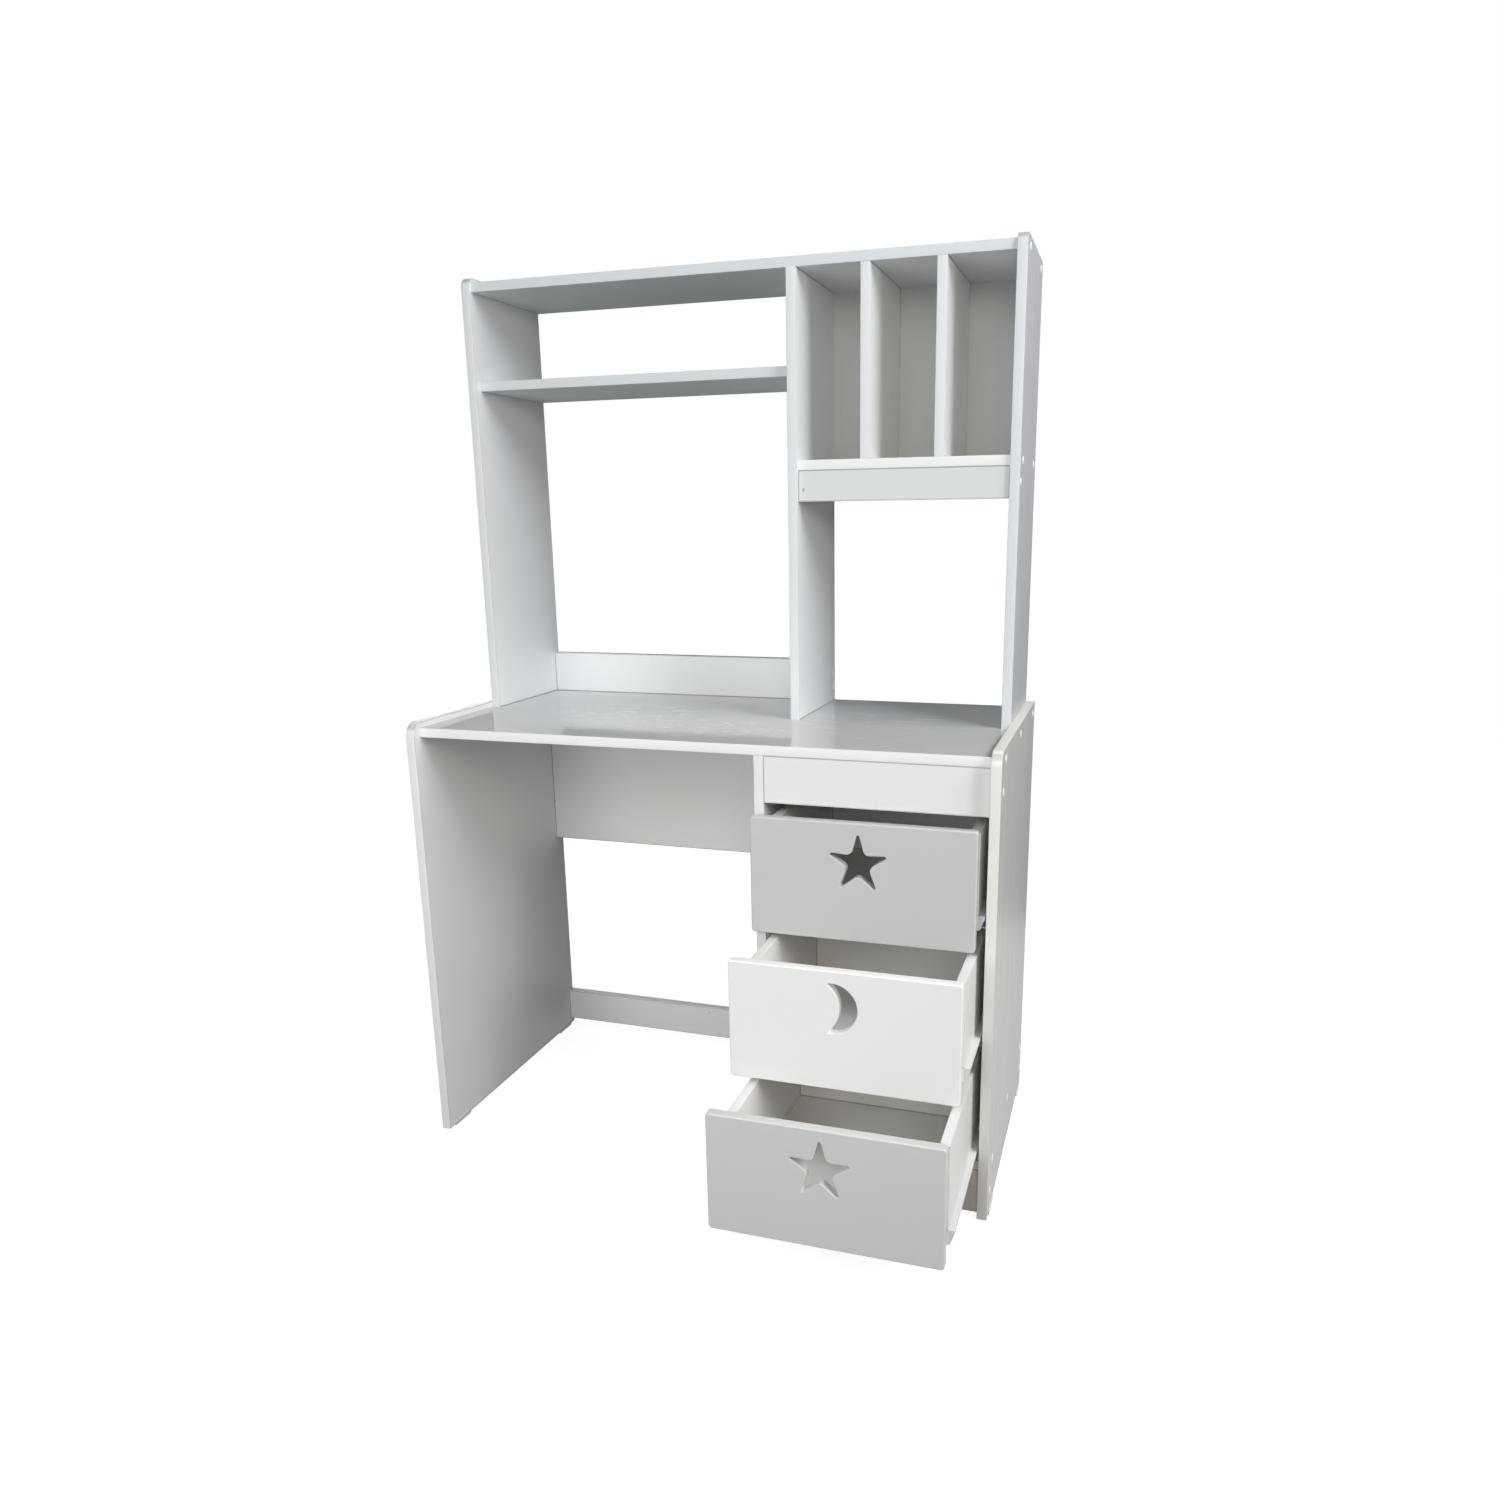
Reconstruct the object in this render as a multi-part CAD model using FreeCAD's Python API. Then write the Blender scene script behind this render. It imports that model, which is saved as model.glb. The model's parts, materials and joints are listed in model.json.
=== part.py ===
# Student desk with hutch: a laminated board desk with a kneehole and a three-drawer pedestal,
# and an open shelf unit that stands on the desktop.
# Millimetres. X runs left to right seen from the front, Y from front to back, Z up.
# The origin is on the floor, under the middle of the left side panel's front glide.
import FreeCAD
import Part
import math
import os

Vector = FreeCAD.Vector
Z_AXIS = Vector(0, 0, 1)

# ---- overall sizes ----
desk_width = 1000.0
desk_depth = 480.0
desktop_height = 750.0
overall_height = 1500.0
board = 16.0
edge_ease = 0.8            # rounding of the edge banding
glide_height = 2.0         # the panels stand this far off the floor

# ---- desk ----
desk_side_rise = 10.0      # side panels stand above the desktop
desk_corner_radius = 23.0
desk_rear_radius = 1.6     # a standing side's top corner at the rear
desktop_recess = 18.0      # desktop, rails and pedestal panel sit behind the side panels' front
pedestal_opening = 352.0   # between the pedestal's inner panel and the right side
top_rail_height = 75.0
modesty_height = 298.0
modesty_inset = 12.0       # behind the modesty panel to the desk's rear
lower_rail_height = 65.0
lower_rail_gap = 13.5      # under the lower rail to the side panel's bottom
plinth_height = 76.0
back_sheet = 3.0           # thin back panels
rebate_width = 8.0
rebate_play = 0.5

# ---- hutch ----
hutch_depth = 235.0
hutch_front_radius = 16.0
hutch_back_radius = 11.0
hutch_side_rise = 8.0      # side panels stand above the hutch top
hutch_top_recess = 6.0
cubby_width = 346.0
cubby_height = 294.0
cubby_slots = 3
apron_height = 50.0
left_shelf_clear = 146.0   # between the left shelf and the hutch top
left_shelf_recess = 15.0
hutch_rail_height = 78.0

# ---- drawers ----
drawer_count = 3
front_thickness = 16.0
front_gap = 5.0            # between one front and the next
first_front_gap = 16.0     # finger space under the top rail
front_left_reveal = 1.0    # the front's left edge inside the pedestal panel's outer face
front_right_reveal = 1.5   # the front's right edge inside the box side's outer face
front_stand_off = 0.5      # closed front to the panels' front edges
front_corner_radius = 5.0
front_ease = 1.6
box_side = 15.0
box_rear_clearance = 129.5  # behind the closed box to the pedestal's back sheet
box_floor_clearance = 4.0  # under the lowest box to the pedestal's bottom panel
box_top_drop = 4.0         # the box's top edge under the front's top edge
box_bottom_rise = 32.0     # the box's bottom edge over the front's bottom edge
box_sheet = 4.0            # drawer bottom
groove_depth = 6.0
groove_rise = 12.0         # drawer bottom over the box's bottom edge
groove_play = 0.2
drawer_travel = 230.0
drawer_open = [10.0, 120.0, 228.0]   # how far each drawer stands open, top to bottom

# ---- cut-out pulls ----
star_point_radius = 52.0   # to the sharp point, before it is rounded
star_valley_radius = 17.5
star_point_round = 2.2
star_valley_round = 10.0
star_drop = 64.5           # centre under the front's top edge
star_offset = -4.0
moon_radius = 39.5
moon_bite_radius = 48.5
moon_bite_shift = 36.3
moon_horn_round = 1.5
moon_drop = 59.0
moon_offset = -16.0
cutout_ease = 1.0

# ---- roller runners ----
runner_gap = 12.5          # box side to cabinet panel
runner_end_gap = 28.0      # behind a runner to the box's rear
runner_sheet = 1.0
runner_leg = 12.0          # under the box side
runner_track = 9.5         # how far the track stands out from the box side
runner_lip = 4.0
runner_gusset_foot = 2.5   # the track's end plate tapers to this at its foot
lip_clearance = 1.2        # under the track's lip to the channel
channel_flange = 8.0
channel_roof = 6.0
runner_setback = 2.0       # runner's front end behind the drawer front
roller_radius = 7.0
roller_width = 5.5
roller_play = 0.2
roof_play = 0.6
roller_front_gap = 5.0     # behind the front roller to the channel's top flange
rivet_radius = 2.0
roller_from_end = 10.0
rivet_reach = 0.6          # past the roller's face
stop_thickness = 2.0

# ---- fittings ----
screw_length = 50.0
screw_head_radius = 5.0
screw_shank_radius = 3.5
screw_thread_radius = 3.1
screw_head_rim = 1.5
screw_head_depth = 4.0
screw_tip = 5.0
socket_across = 4.0
socket_depth = 3.5
bore_play = 0.1
cap_radius = 6.5
cap_height = 1.2
cap_rim_height = 0.5       # the crown's straight rim
cap_crown_radius = 5.2
cap_stem_play = 0.2
cap_clearance = 0.5
cap_stem_length = 2.5
screw_margin = 30.0        # end screws from a panel's edges
dowel_radius = 4.0
dowel_length = 30.0
dowel_in_face = 12.0
cam_radius = 7.5
cam_depth = 12.5
cam_setback = 24.0
cam_bolt_radius = 3.0
cam_bolt_in_front = 11.0
cam_bolt_gap = 2.5         # the bolt's end stops short of the cam's axis
pin_screw_radius = 1.75
pin_screw_length = 12.0
pin_head_radius = 3.5
pin_head_height = 1.4
glide_length = 48.0
glide_inset = 18.0
glide_wall = 1.6
glide_lip = 5.0
glide_play = 0.2
cutter_margin = 1.0        # cutters run past the faces that they open
same_place = 1e-6          # points closer than this are one point
radius_slack = 1e-3

# ---- planes worked out from the sizes above ----
left_outer = -board / 2
right_outer = left_outer + desk_width
left_inner = left_outer + board
right_inner = right_outer - board
front_edge = -glide_inset - glide_length / 2
rear_edge = front_edge + desk_depth
body_front = front_edge + desktop_recess
desktop_underside = desktop_height - board
pedestal_face = right_inner - pedestal_opening
panel_face = pedestal_face - board
top_rail_bottom = desktop_underside - top_rail_height
plinth_top = glide_height + plinth_height
floor_panel_top = plinth_top + board
pedestal_back = rear_edge - back_sheet
rear_plinth_back = rear_edge - board / 2 - cap_radius - cap_clearance
modesty_back = rear_edge - modesty_inset
modesty_bottom = desktop_underside - modesty_height
lower_rail_bottom = glide_height + lower_rail_gap

hutch_left_inner = left_inner + board
hutch_right_inner = right_inner - board
hutch_front = rear_edge - hutch_depth
hutch_shelf_front = hutch_front + hutch_top_recess
hutch_top_upper = overall_height - hutch_side_rise
hutch_top_lower = hutch_top_upper - board
middle_face = hutch_right_inner - cubby_width
middle_left = middle_face - board
cubby_floor = hutch_top_lower - cubby_height
cubby_shelf_lower = cubby_floor - board
left_shelf_upper = hutch_top_lower - left_shelf_clear
left_shelf_lower = left_shelf_upper - board
left_shelf_front = hutch_front + left_shelf_recess
slot_width = (cubby_width - (cubby_slots - 1) * board) / cubby_slots
hutch_rail_front = rear_edge - board

box_left = pedestal_face + runner_gap
box_right = right_inner - runner_gap
front_left = panel_face + front_left_reveal
front_right = box_right - front_right_reveal
closed_front_back = body_front - front_stand_off
lowest_front_edge = floor_panel_top + box_floor_clearance - box_bottom_rise
fronts_span = top_rail_bottom - first_front_gap - lowest_front_edge
front_height = (fronts_span - (drawer_count - 1) * front_gap) / drawer_count
box_height = front_height - box_top_drop - box_bottom_rise
box_depth = pedestal_back - closed_front_back - box_rear_clearance

runner_length = box_depth - runner_setback - runner_end_gap
channel_height = 2 * (runner_sheet + roller_radius) + roller_play + roof_play
runner_height = channel_height + lip_clearance + runner_lip
channel_cutback = roller_from_end + roller_radius + roller_front_gap
cap_stem_radius = socket_across / 2 - cap_stem_play

parts = {}
bores = {}


def keep(name, shape):
    parts[name] = shape


def cut_later(name, tool):
    bores.setdefault(name, []).append(tool)


def ease_along(solid, axis, radius):
    """Round the edges that run along one axis."""
    edges = []
    for edge in solid.Edges:
        direction = edge.Vertexes[-1].Point - edge.Vertexes[0].Point
        if direction.Length > 0 and abs(direction.normalize().dot(axis)) > 0.999:
            edges.append(edge)
    return solid.makeFillet(radius, edges)


def block(x_low, x_high, y_low, y_high, z_low, z_high):
    return Part.makeBox(x_high - x_low, y_high - y_low, z_high - z_low, Vector(x_low, y_low, z_low))


def board_along_x(x_low, x_high, y_low, y_high, z_low, z_high):
    return ease_along(block(x_low, x_high, y_low, y_high, z_low, z_high), Vector(1, 0, 0), edge_ease)


def board_along_z(x_low, x_high, y_low, y_high, z_low, z_high):
    return ease_along(block(x_low, x_high, y_low, y_high, z_low, z_high), Vector(0, 0, 1), edge_ease)


def board_along_y(x_low, x_high, y_low, y_high, z_low, z_high):
    return ease_along(block(x_low, x_high, y_low, y_high, z_low, z_high), Vector(0, 1, 0), edge_ease)


def side_panel(x_low, y_low, y_high, z_low, z_high, front_radius, back_radius):
    """A standing panel with rounded top corners, its outline eased on both faces."""
    panel = block(x_low, x_low + board, y_low, y_high, z_low, z_high)
    for y_corner, radius in ((y_low, front_radius), (y_high, back_radius)):
        middle = Vector(x_low + board / 2, y_corner, z_high)
        edges = [edge for edge in panel.Edges if (edge.CenterOfMass - middle).Length < same_place]
        panel = panel.makeFillet(radius, edges)
    rims = [edge for edge in panel.Edges if edge.BoundBox.XLength < same_place]
    return panel.makeFillet(edge_ease, rims)


def turned(points, base, direction):
    """A solid of revolution from (radius, height) points, stood on base along direction."""
    corners = [Vector(radius, 0, height) for radius, height in points]
    outline = Part.makePolygon(corners + [corners[0]])
    solid = Part.Face(outline).revolve(Vector(0, 0, 0), Z_AXIS, 360)
    solid.Placement = FreeCAD.Placement(base, FreeCAD.Rotation(Z_AXIS, direction))
    return solid


def cylinder(radius, base, direction, length):
    return Part.makeCylinder(radius, length, base, direction)


def spaced(low, high, count):
    """Centres of fasteners along an edge, the end ones a margin in from its ends."""
    first = low + screw_margin
    step = (high - low - 2 * screw_margin) / (count - 1)
    return [first + step * index for index in range(count)]


# ---- fasteners ----
def screw_profile(play):
    head = screw_head_radius + play
    shank = screw_shank_radius + play
    thread = screw_thread_radius + play
    return [
        (0, 0), (head, 0), (head, screw_head_rim), (shank, screw_head_depth),
        (shank, board), (thread, board), (thread, screw_length - screw_tip + play), (0, screw_length + play),
    ]


def socket_tool(base, direction):
    """A hexagonal key socket."""
    radius = socket_across / 2 / math.cos(math.pi / 6)
    corners = []
    for index in range(6):
        angle = math.pi / 3 * index
        corners.append(Vector(radius * math.cos(angle), radius * math.sin(angle), 0))
    prism = Part.Face(Part.makePolygon(corners + [corners[0]])).extrude(Vector(0, 0, socket_depth))
    prism.Placement = FreeCAD.Placement(base, FreeCAD.Rotation(Z_AXIS, direction))
    return prism


assembly_screws = []
cover_caps = []
locating_dowels = []


def joining_screw(head, direction, panel, neighbour, holder=assembly_screws):
    """A screw from the face of one panel into the end of its neighbour, with its bores."""
    screw = turned(screw_profile(0), head, direction)
    holder.append(screw.cut(socket_tool(head, direction)))
    bore = turned(screw_profile(bore_play), head, direction)
    cut_later(panel, bore)
    cut_later(neighbour, bore)


def covered_screw(head, direction, panel, neighbour):
    joining_screw(head, direction, panel, neighbour)
    crown = [
        (0, 0), (cap_radius, 0), (cap_radius, cap_rim_height),
        (cap_crown_radius, cap_height), (0, cap_height),
    ]
    outward = direction * -1
    cap = turned(crown, head, outward)
    stem = cylinder(cap_stem_radius, head, direction, cap_stem_length)
    cover_caps.append(cap.fuse(stem).removeSplitter())


def dowel(face_point, into_end, face_panel, end_panel):
    """A dowel across a butt joint: part in a panel's face, the rest in its neighbour's end."""
    start = face_point - into_end * dowel_in_face
    locating_dowels.append(cylinder(dowel_radius, start, into_end, dowel_length))
    hole = cylinder(dowel_radius + bore_play, start, into_end, dowel_length)
    cut_later(face_panel, hole)
    cut_later(end_panel, hole)


RIGHT = Vector(1, 0, 0)
LEFT = Vector(-1, 0, 0)
UP = Vector(0, 0, 1)
DOWN = Vector(0, 0, -1)


# ---- desk carcass ----
def make_desk():
    side_top = desktop_height + desk_side_rise
    for name, x_low in (("desk_left_side", left_outer), ("desk_right_side", right_inner)):
        keep(name, side_panel(x_low, front_edge, rear_edge, glide_height, side_top,
                              desk_corner_radius, desk_rear_radius))
    keep("desktop", board_along_x(left_inner, right_inner, body_front, rear_edge,
                                  desktop_underside, desktop_height))
    keep("pedestal_inner_panel", board_along_z(panel_face, pedestal_face, body_front, rear_edge,
                                               glide_height, desktop_underside))
    keep("modesty_panel", board_along_x(left_inner, panel_face, modesty_back - board, modesty_back,
                                        modesty_bottom, desktop_underside))
    keep("lower_back_rail", board_along_x(left_inner, panel_face, rear_edge - board, rear_edge,
                                          lower_rail_bottom, lower_rail_bottom + lower_rail_height))
    keep("pedestal_top_rail", board_along_x(pedestal_face, right_inner, body_front, body_front + board,
                                            top_rail_bottom, desktop_underside))
    keep("pedestal_bottom_panel", board_along_x(pedestal_face, right_inner, body_front, pedestal_back,
                                                plinth_top, floor_panel_top))
    keep("pedestal_front_plinth", board_along_x(pedestal_face, right_inner, body_front, body_front + board,
                                                glide_height, plinth_top))
    keep("pedestal_rear_plinth", board_along_x(pedestal_face, right_inner, rear_plinth_back - board,
                                               rear_plinth_back, glide_height, plinth_top))


def make_pedestal_back():
    """A thin sheet let into rebates at the pedestal's rear."""
    high_z = desktop_underside + rebate_width
    keep("pedestal_back_panel", block(pedestal_face - rebate_width + rebate_play,
                                      right_inner + rebate_width - rebate_play, pedestal_back, rear_edge,
                                      floor_panel_top + rebate_play, high_z - rebate_play))
    rebate = block(pedestal_face - rebate_width, right_inner + rebate_width, pedestal_back,
                   rear_edge + board, floor_panel_top, high_z)
    for name in ("pedestal_inner_panel", "desk_right_side", "desktop"):
        cut_later(name, rebate)


def make_glides():
    """Clip-on plastic glides under the standing panels, front and rear."""
    glides = []
    stations = (
        (left_outer, front_edge), (right_inner, front_edge), (panel_face, body_front),
    )
    for x_low, y_front in stations:
        for y_low in (y_front + glide_inset, rear_edge - glide_inset - glide_length):
            shell = block(x_low - glide_wall, x_low + board + glide_wall, y_low, y_low + glide_length,
                          0, glide_height + glide_lip)
            shell = ease_along(shell, Vector(0, 0, 1), glide_wall / 2)
            seat = block(x_low, x_low + board, y_low - board, y_low + glide_length + board,
                         glide_height, glide_height + 2 * glide_lip)
            glides.append(shell.cut(seat))
            notch = block(x_low - glide_wall - glide_play, x_low + board + glide_wall + glide_play,
                          y_low - glide_play, y_low + glide_length + glide_play,
                          0, glide_height + glide_lip + glide_play)
            for plinth in ("pedestal_front_plinth", "pedestal_rear_plinth"):
                cut_later(plinth, notch)
    keep("floor_glides", Part.makeCompound(glides))


def fasten_desk():
    desktop_z = desktop_height - board / 2
    floor_z = plinth_top + board / 2
    plinth_z = glide_height + plinth_height / 2
    rail_y = body_front + board / 2
    rear_plinth_y = rear_plinth_back - board / 2
    for y in spaced(body_front, rear_edge, 3):
        covered_screw(Vector(right_outer, y, desktop_z), LEFT, "desk_right_side", "desktop")
        covered_screw(Vector(left_outer, y, desktop_z), RIGHT, "desk_left_side", "desktop")
        covered_screw(Vector(right_outer, y, floor_z), LEFT, "desk_right_side", "pedestal_bottom_panel")
        covered_screw(Vector(panel_face, y, floor_z), RIGHT, "pedestal_inner_panel", "pedestal_bottom_panel")
    rails = (
        ("pedestal_top_rail", rail_y, top_rail_bottom + top_rail_height / 2),
        ("pedestal_front_plinth", rail_y, plinth_z),
        ("pedestal_rear_plinth", rear_plinth_y, plinth_z),
    )
    for name, y, z in rails:
        covered_screw(Vector(right_outer, y, z), LEFT, "desk_right_side", name)
        covered_screw(Vector(panel_face, y, z), RIGHT, "pedestal_inner_panel", name)
    lower_z = lower_rail_bottom + lower_rail_height / 2
    back_joints = [("lower_back_rail", rear_edge - board / 2, lower_z)]
    for z in spaced(modesty_bottom, desktop_underside, 2):
        back_joints.append(("modesty_panel", modesty_back - board / 2, z))
    for name, y, z in back_joints:
        covered_screw(Vector(left_outer, y, z), RIGHT, "desk_left_side", name)
        covered_screw(Vector(pedestal_face, y, z), LEFT, "pedestal_inner_panel", name)
    for y in spaced(body_front + board, pedestal_back - board, 2):
        dowel(Vector(panel_face + board / 2, y, desktop_underside), DOWN, "desktop", "pedestal_inner_panel")
    for x in spaced(left_inner, panel_face, 2):
        dowel(Vector(x, modesty_back - board / 2, desktop_underside), DOWN, "desktop", "modesty_panel")


# ---- hutch ----
def make_hutch():
    for name, x_low in (("hutch_left_side", left_inner), ("hutch_right_side", hutch_right_inner)):
        keep(name, side_panel(x_low, hutch_front, rear_edge, desktop_height, overall_height,
                              hutch_front_radius, hutch_back_radius))
    keep("hutch_middle_panel", board_along_z(middle_left, middle_face, hutch_front, rear_edge,
                                             desktop_height, hutch_top_lower))
    keep("hutch_top", board_along_x(hutch_left_inner, hutch_right_inner, hutch_shelf_front, rear_edge,
                                    hutch_top_lower, hutch_top_upper))
    keep("hutch_left_shelf", board_along_x(hutch_left_inner, middle_left, left_shelf_front, rear_edge,
                                           left_shelf_lower, left_shelf_upper))
    keep("hutch_lower_rail", board_along_x(hutch_left_inner, middle_left, hutch_rail_front, rear_edge,
                                           desktop_height, desktop_height + hutch_rail_height))
    keep("cubby_shelf", board_along_x(middle_face, hutch_right_inner, hutch_shelf_front, rear_edge,
                                      cubby_shelf_lower, cubby_floor))
    keep("cubby_apron", board_along_x(middle_face, hutch_right_inner, hutch_shelf_front,
                                      hutch_shelf_front + board, cubby_shelf_lower - apron_height,
                                      cubby_shelf_lower))
    for name, x_low in zip(divider_names(), divider_places()):
        keep(name, board_along_z(x_low, x_low + board, hutch_shelf_front, rear_edge - back_sheet,
                                 cubby_floor, hutch_top_lower))


def divider_names():
    if cubby_slots == 3:
        return ["cubby_left_divider", "cubby_right_divider"]
    return ["cubby_divider_%d" % (index + 1) for index in range(cubby_slots - 1)]


def divider_places():
    return [middle_face + slot_width + index * (slot_width + board) for index in range(cubby_slots - 1)]


def make_cubby_back():
    """A thin sheet let into rebates behind the cubby."""
    y_low = rear_edge - back_sheet
    keep("cubby_back_panel", block(middle_face - rebate_width + rebate_play,
                                   hutch_right_inner + rebate_width - rebate_play, y_low, rear_edge,
                                   cubby_floor - rebate_width + rebate_play,
                                   hutch_top_lower + rebate_width - rebate_play))
    rebate = block(middle_face - rebate_width, hutch_right_inner + rebate_width, y_low, rear_edge + board,
                   cubby_floor - rebate_width, hutch_top_lower + rebate_width)
    for name in ("hutch_middle_panel", "hutch_right_side", "hutch_top", "cubby_shelf"):
        cut_later(name, rebate)


def fasten_hutch():
    left_face = left_inner
    right_face = right_inner
    top_z = hutch_top_lower + board / 2
    shelf_z = cubby_floor - board / 2
    apron_y = hutch_shelf_front + board / 2
    apron_z = cubby_shelf_lower - apron_height / 2
    left_shelf_z = left_shelf_lower + board / 2
    rows = spaced(hutch_shelf_front, rear_edge, 2)
    for y in rows:
        covered_screw(Vector(right_face, y, top_z), LEFT, "hutch_right_side", "hutch_top")
        covered_screw(Vector(left_face, y, top_z), RIGHT, "hutch_left_side", "hutch_top")
        covered_screw(Vector(right_face, y, shelf_z), LEFT, "hutch_right_side", "cubby_shelf")
        covered_screw(Vector(middle_left, y, shelf_z), RIGHT, "hutch_middle_panel", "cubby_shelf")
        covered_screw(Vector(left_face, y, left_shelf_z), RIGHT, "hutch_left_side", "hutch_left_shelf")
        covered_screw(Vector(middle_left + board / 2, y, hutch_top_upper), DOWN,
                      "hutch_top", "hutch_middle_panel")
        for name, x_low in zip(divider_names(), divider_places()):
            x = x_low + board / 2
            covered_screw(Vector(x, y, hutch_top_upper), DOWN, "hutch_top", name)
            covered_screw(Vector(x, y, cubby_shelf_lower), UP, "cubby_shelf", name)
    for y in spaced(hutch_front, modesty_back - board, 2):
        for name, x_low in (("hutch_left_side", left_inner), ("hutch_right_side", hutch_right_inner)):
            covered_screw(Vector(x_low + board / 2, y, desktop_underside), UP, "desktop", name)
    covered_screw(Vector(right_face, apron_y, apron_z), LEFT, "hutch_right_side", "cubby_apron")
    covered_screw(Vector(middle_left, apron_y, apron_z), RIGHT, "hutch_middle_panel", "cubby_apron")
    rail_y = rear_edge - board / 2
    for z in (desktop_height + hutch_rail_height / 3, desktop_height + hutch_rail_height * 2 / 3):
        covered_screw(Vector(left_face, rail_y, z), RIGHT, "hutch_left_side", "hutch_lower_rail")
        covered_screw(Vector(middle_face, rail_y, z), LEFT, "hutch_middle_panel", "hutch_lower_rail")
    for y in spaced(hutch_front + board, rear_edge - board, 2):
        dowel(Vector(middle_left + board / 2, y, desktop_height), UP, "desktop", "hutch_middle_panel")
        dowel(Vector(middle_left, y, left_shelf_z), LEFT, "hutch_middle_panel", "hutch_left_shelf")


# ---- drawers ----
def front_top(index):
    """Height of a front's top edge, counted from the top drawer."""
    return top_rail_bottom - first_front_gap - index * (front_height + front_gap)


def star_cutter(x, z, y_low, y_high):
    """A five-pointed star with narrow rounded points and hollow sides."""
    corners = []
    for index in range(10):
        radius = star_point_radius if index % 2 == 0 else star_valley_radius
        angle = math.pi / 2 + math.pi / 5 * index
        corners.append(Vector(x + radius * math.cos(angle), y_low, z + radius * math.sin(angle)))
    prism = Part.Face(Part.makePolygon(corners + [corners[0]])).extrude(Vector(0, y_high - y_low, 0))
    for wanted, rounding in ((star_valley_radius, star_valley_round), (star_point_radius, star_point_round)):
        prism = prism.makeFillet(rounding, upright_edges(prism, x, z, wanted))
    return prism


def upright_edges(prism, x, z, radius):
    """Straight edges along Y at one distance from the axis."""
    edges = []
    for edge in prism.Edges:
        ends = [vertex.Point for vertex in edge.Vertexes]
        run = ends[-1] - ends[0]
        along_y = abs(run.y) > same_place and math.hypot(run.x, run.z) < same_place
        if along_y and abs(math.hypot(ends[0].x - x, ends[0].z - z) - radius) < radius_slack:
            edges.append(edge)
    return edges


def moon_cutter(x, z, y_low, y_high):
    """A crescent open to the left: a disc less a larger disc set to its left."""
    depth = y_high - y_low
    into_board = Vector(0, 1, 0)
    disc = cylinder(moon_radius, Vector(x, y_low, z), into_board, depth)
    bite = cylinder(moon_bite_radius, Vector(x - moon_bite_shift, y_low, z), into_board, depth)
    crescent = disc.cut(bite)
    horns = []
    for edge in upright_edges(crescent, x, z, moon_radius):
        if edge.Vertexes[0].Point.x < x + moon_radius / 2:
            horns.append(edge)
    return crescent.makeFillet(moon_horn_round, horns)


def drawer_front(index, y_low, z_low):
    """A front board with its pull cut through, its rims eased on both faces."""
    y_high = y_low + front_thickness
    panel = block(front_left, front_right, y_low, y_high, z_low, z_low + front_height)
    panel = ease_along(panel, Vector(0, 1, 0), front_corner_radius)
    centre_x = (front_left + front_right) / 2
    top = z_low + front_height
    y_start, y_end = y_low - cutter_margin, y_high + cutter_margin
    if index % 2 == 0:
        pull = star_cutter(centre_x + star_offset, top - star_drop, y_start, y_end)
    else:
        pull = moon_cutter(centre_x + moon_offset, top - moon_drop, y_start, y_end)
    outer_rims = [edge for edge in panel.Edges if edge.BoundBox.YLength < same_place]
    panel = panel.makeFillet(front_ease, outer_rims)
    panel = panel.cut(pull)
    reach = max(star_point_radius, moon_radius + moon_bite_shift) + cutter_margin
    pull_rims = []
    for edge in panel.Edges:
        box = edge.BoundBox
        flat = box.YLength < same_place
        on_face = abs(box.YMin - y_low) < same_place or abs(box.YMin - y_high) < same_place
        near = box.XMin > centre_x - reach and box.XMax < centre_x + reach
        if flat and on_face and near:
            pull_rims.append(edge)
    return panel.makeFillet(cutout_ease, pull_rims)


def cam_lock(cam_centre, inward, y_front):
    """A cam let into a box side and its bolt, screwed into the back of the front."""
    bolt = cylinder(cam_bolt_radius, Vector(cam_centre.x + inward.x * (cam_depth - box_side / 2),
                                            y_front, cam_centre.z), Vector(0, 1, 0),
                    cam_centre.y - y_front - cam_bolt_gap)
    cam = cylinder(cam_radius, cam_centre, inward, cam_depth)
    slot = cylinder(cam_bolt_radius + bore_play, Vector(bolt.CenterOfMass.x, y_front, cam_centre.z),
                    Vector(0, 1, 0), cam_centre.y - y_front - cam_bolt_gap + bore_play)
    return cam.cut(slot), bolt, slot


def make_drawer(index):
    name = "drawer_%d_" % (index + 1)
    y_back = closed_front_back - drawer_open[index]
    y_low = y_back - front_thickness
    z_low = front_top(index) - front_height
    z_box = z_low + box_bottom_rise
    z_top = z_box + box_height
    y_end = y_back + box_depth
    keep(name + "front", drawer_front(index, y_low, z_low))
    keep(name + "left_side", board_along_y(box_left, box_left + box_side, y_back, y_end, z_box, z_top))
    keep(name + "right_side", board_along_y(box_right - box_side, box_right, y_back, y_end, z_box, z_top))
    inner_left = box_left + box_side
    inner_right = box_right - box_side
    sheet_low = z_box + groove_rise
    sheet_high = sheet_low + box_sheet
    keep(name + "back", board_along_x(inner_left, inner_right, y_end - box_side, y_end,
                                      sheet_high, z_top))
    reach = groove_depth - groove_play
    keep(name + "bottom", block(inner_left - reach, inner_right + reach, y_back - reach, y_end,
                                sheet_low, sheet_high))
    groove = block(inner_left - groove_depth, inner_right + groove_depth, y_back - groove_depth,
                   y_end + board, sheet_low, sheet_high)
    for piece in ("front", "left_side", "right_side"):
        cut_later(name + piece, groove)
    fasten_drawer(name, y_back, y_end, z_box, z_top, sheet_high)
    make_drawer_runners(name, y_back, z_box)


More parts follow.
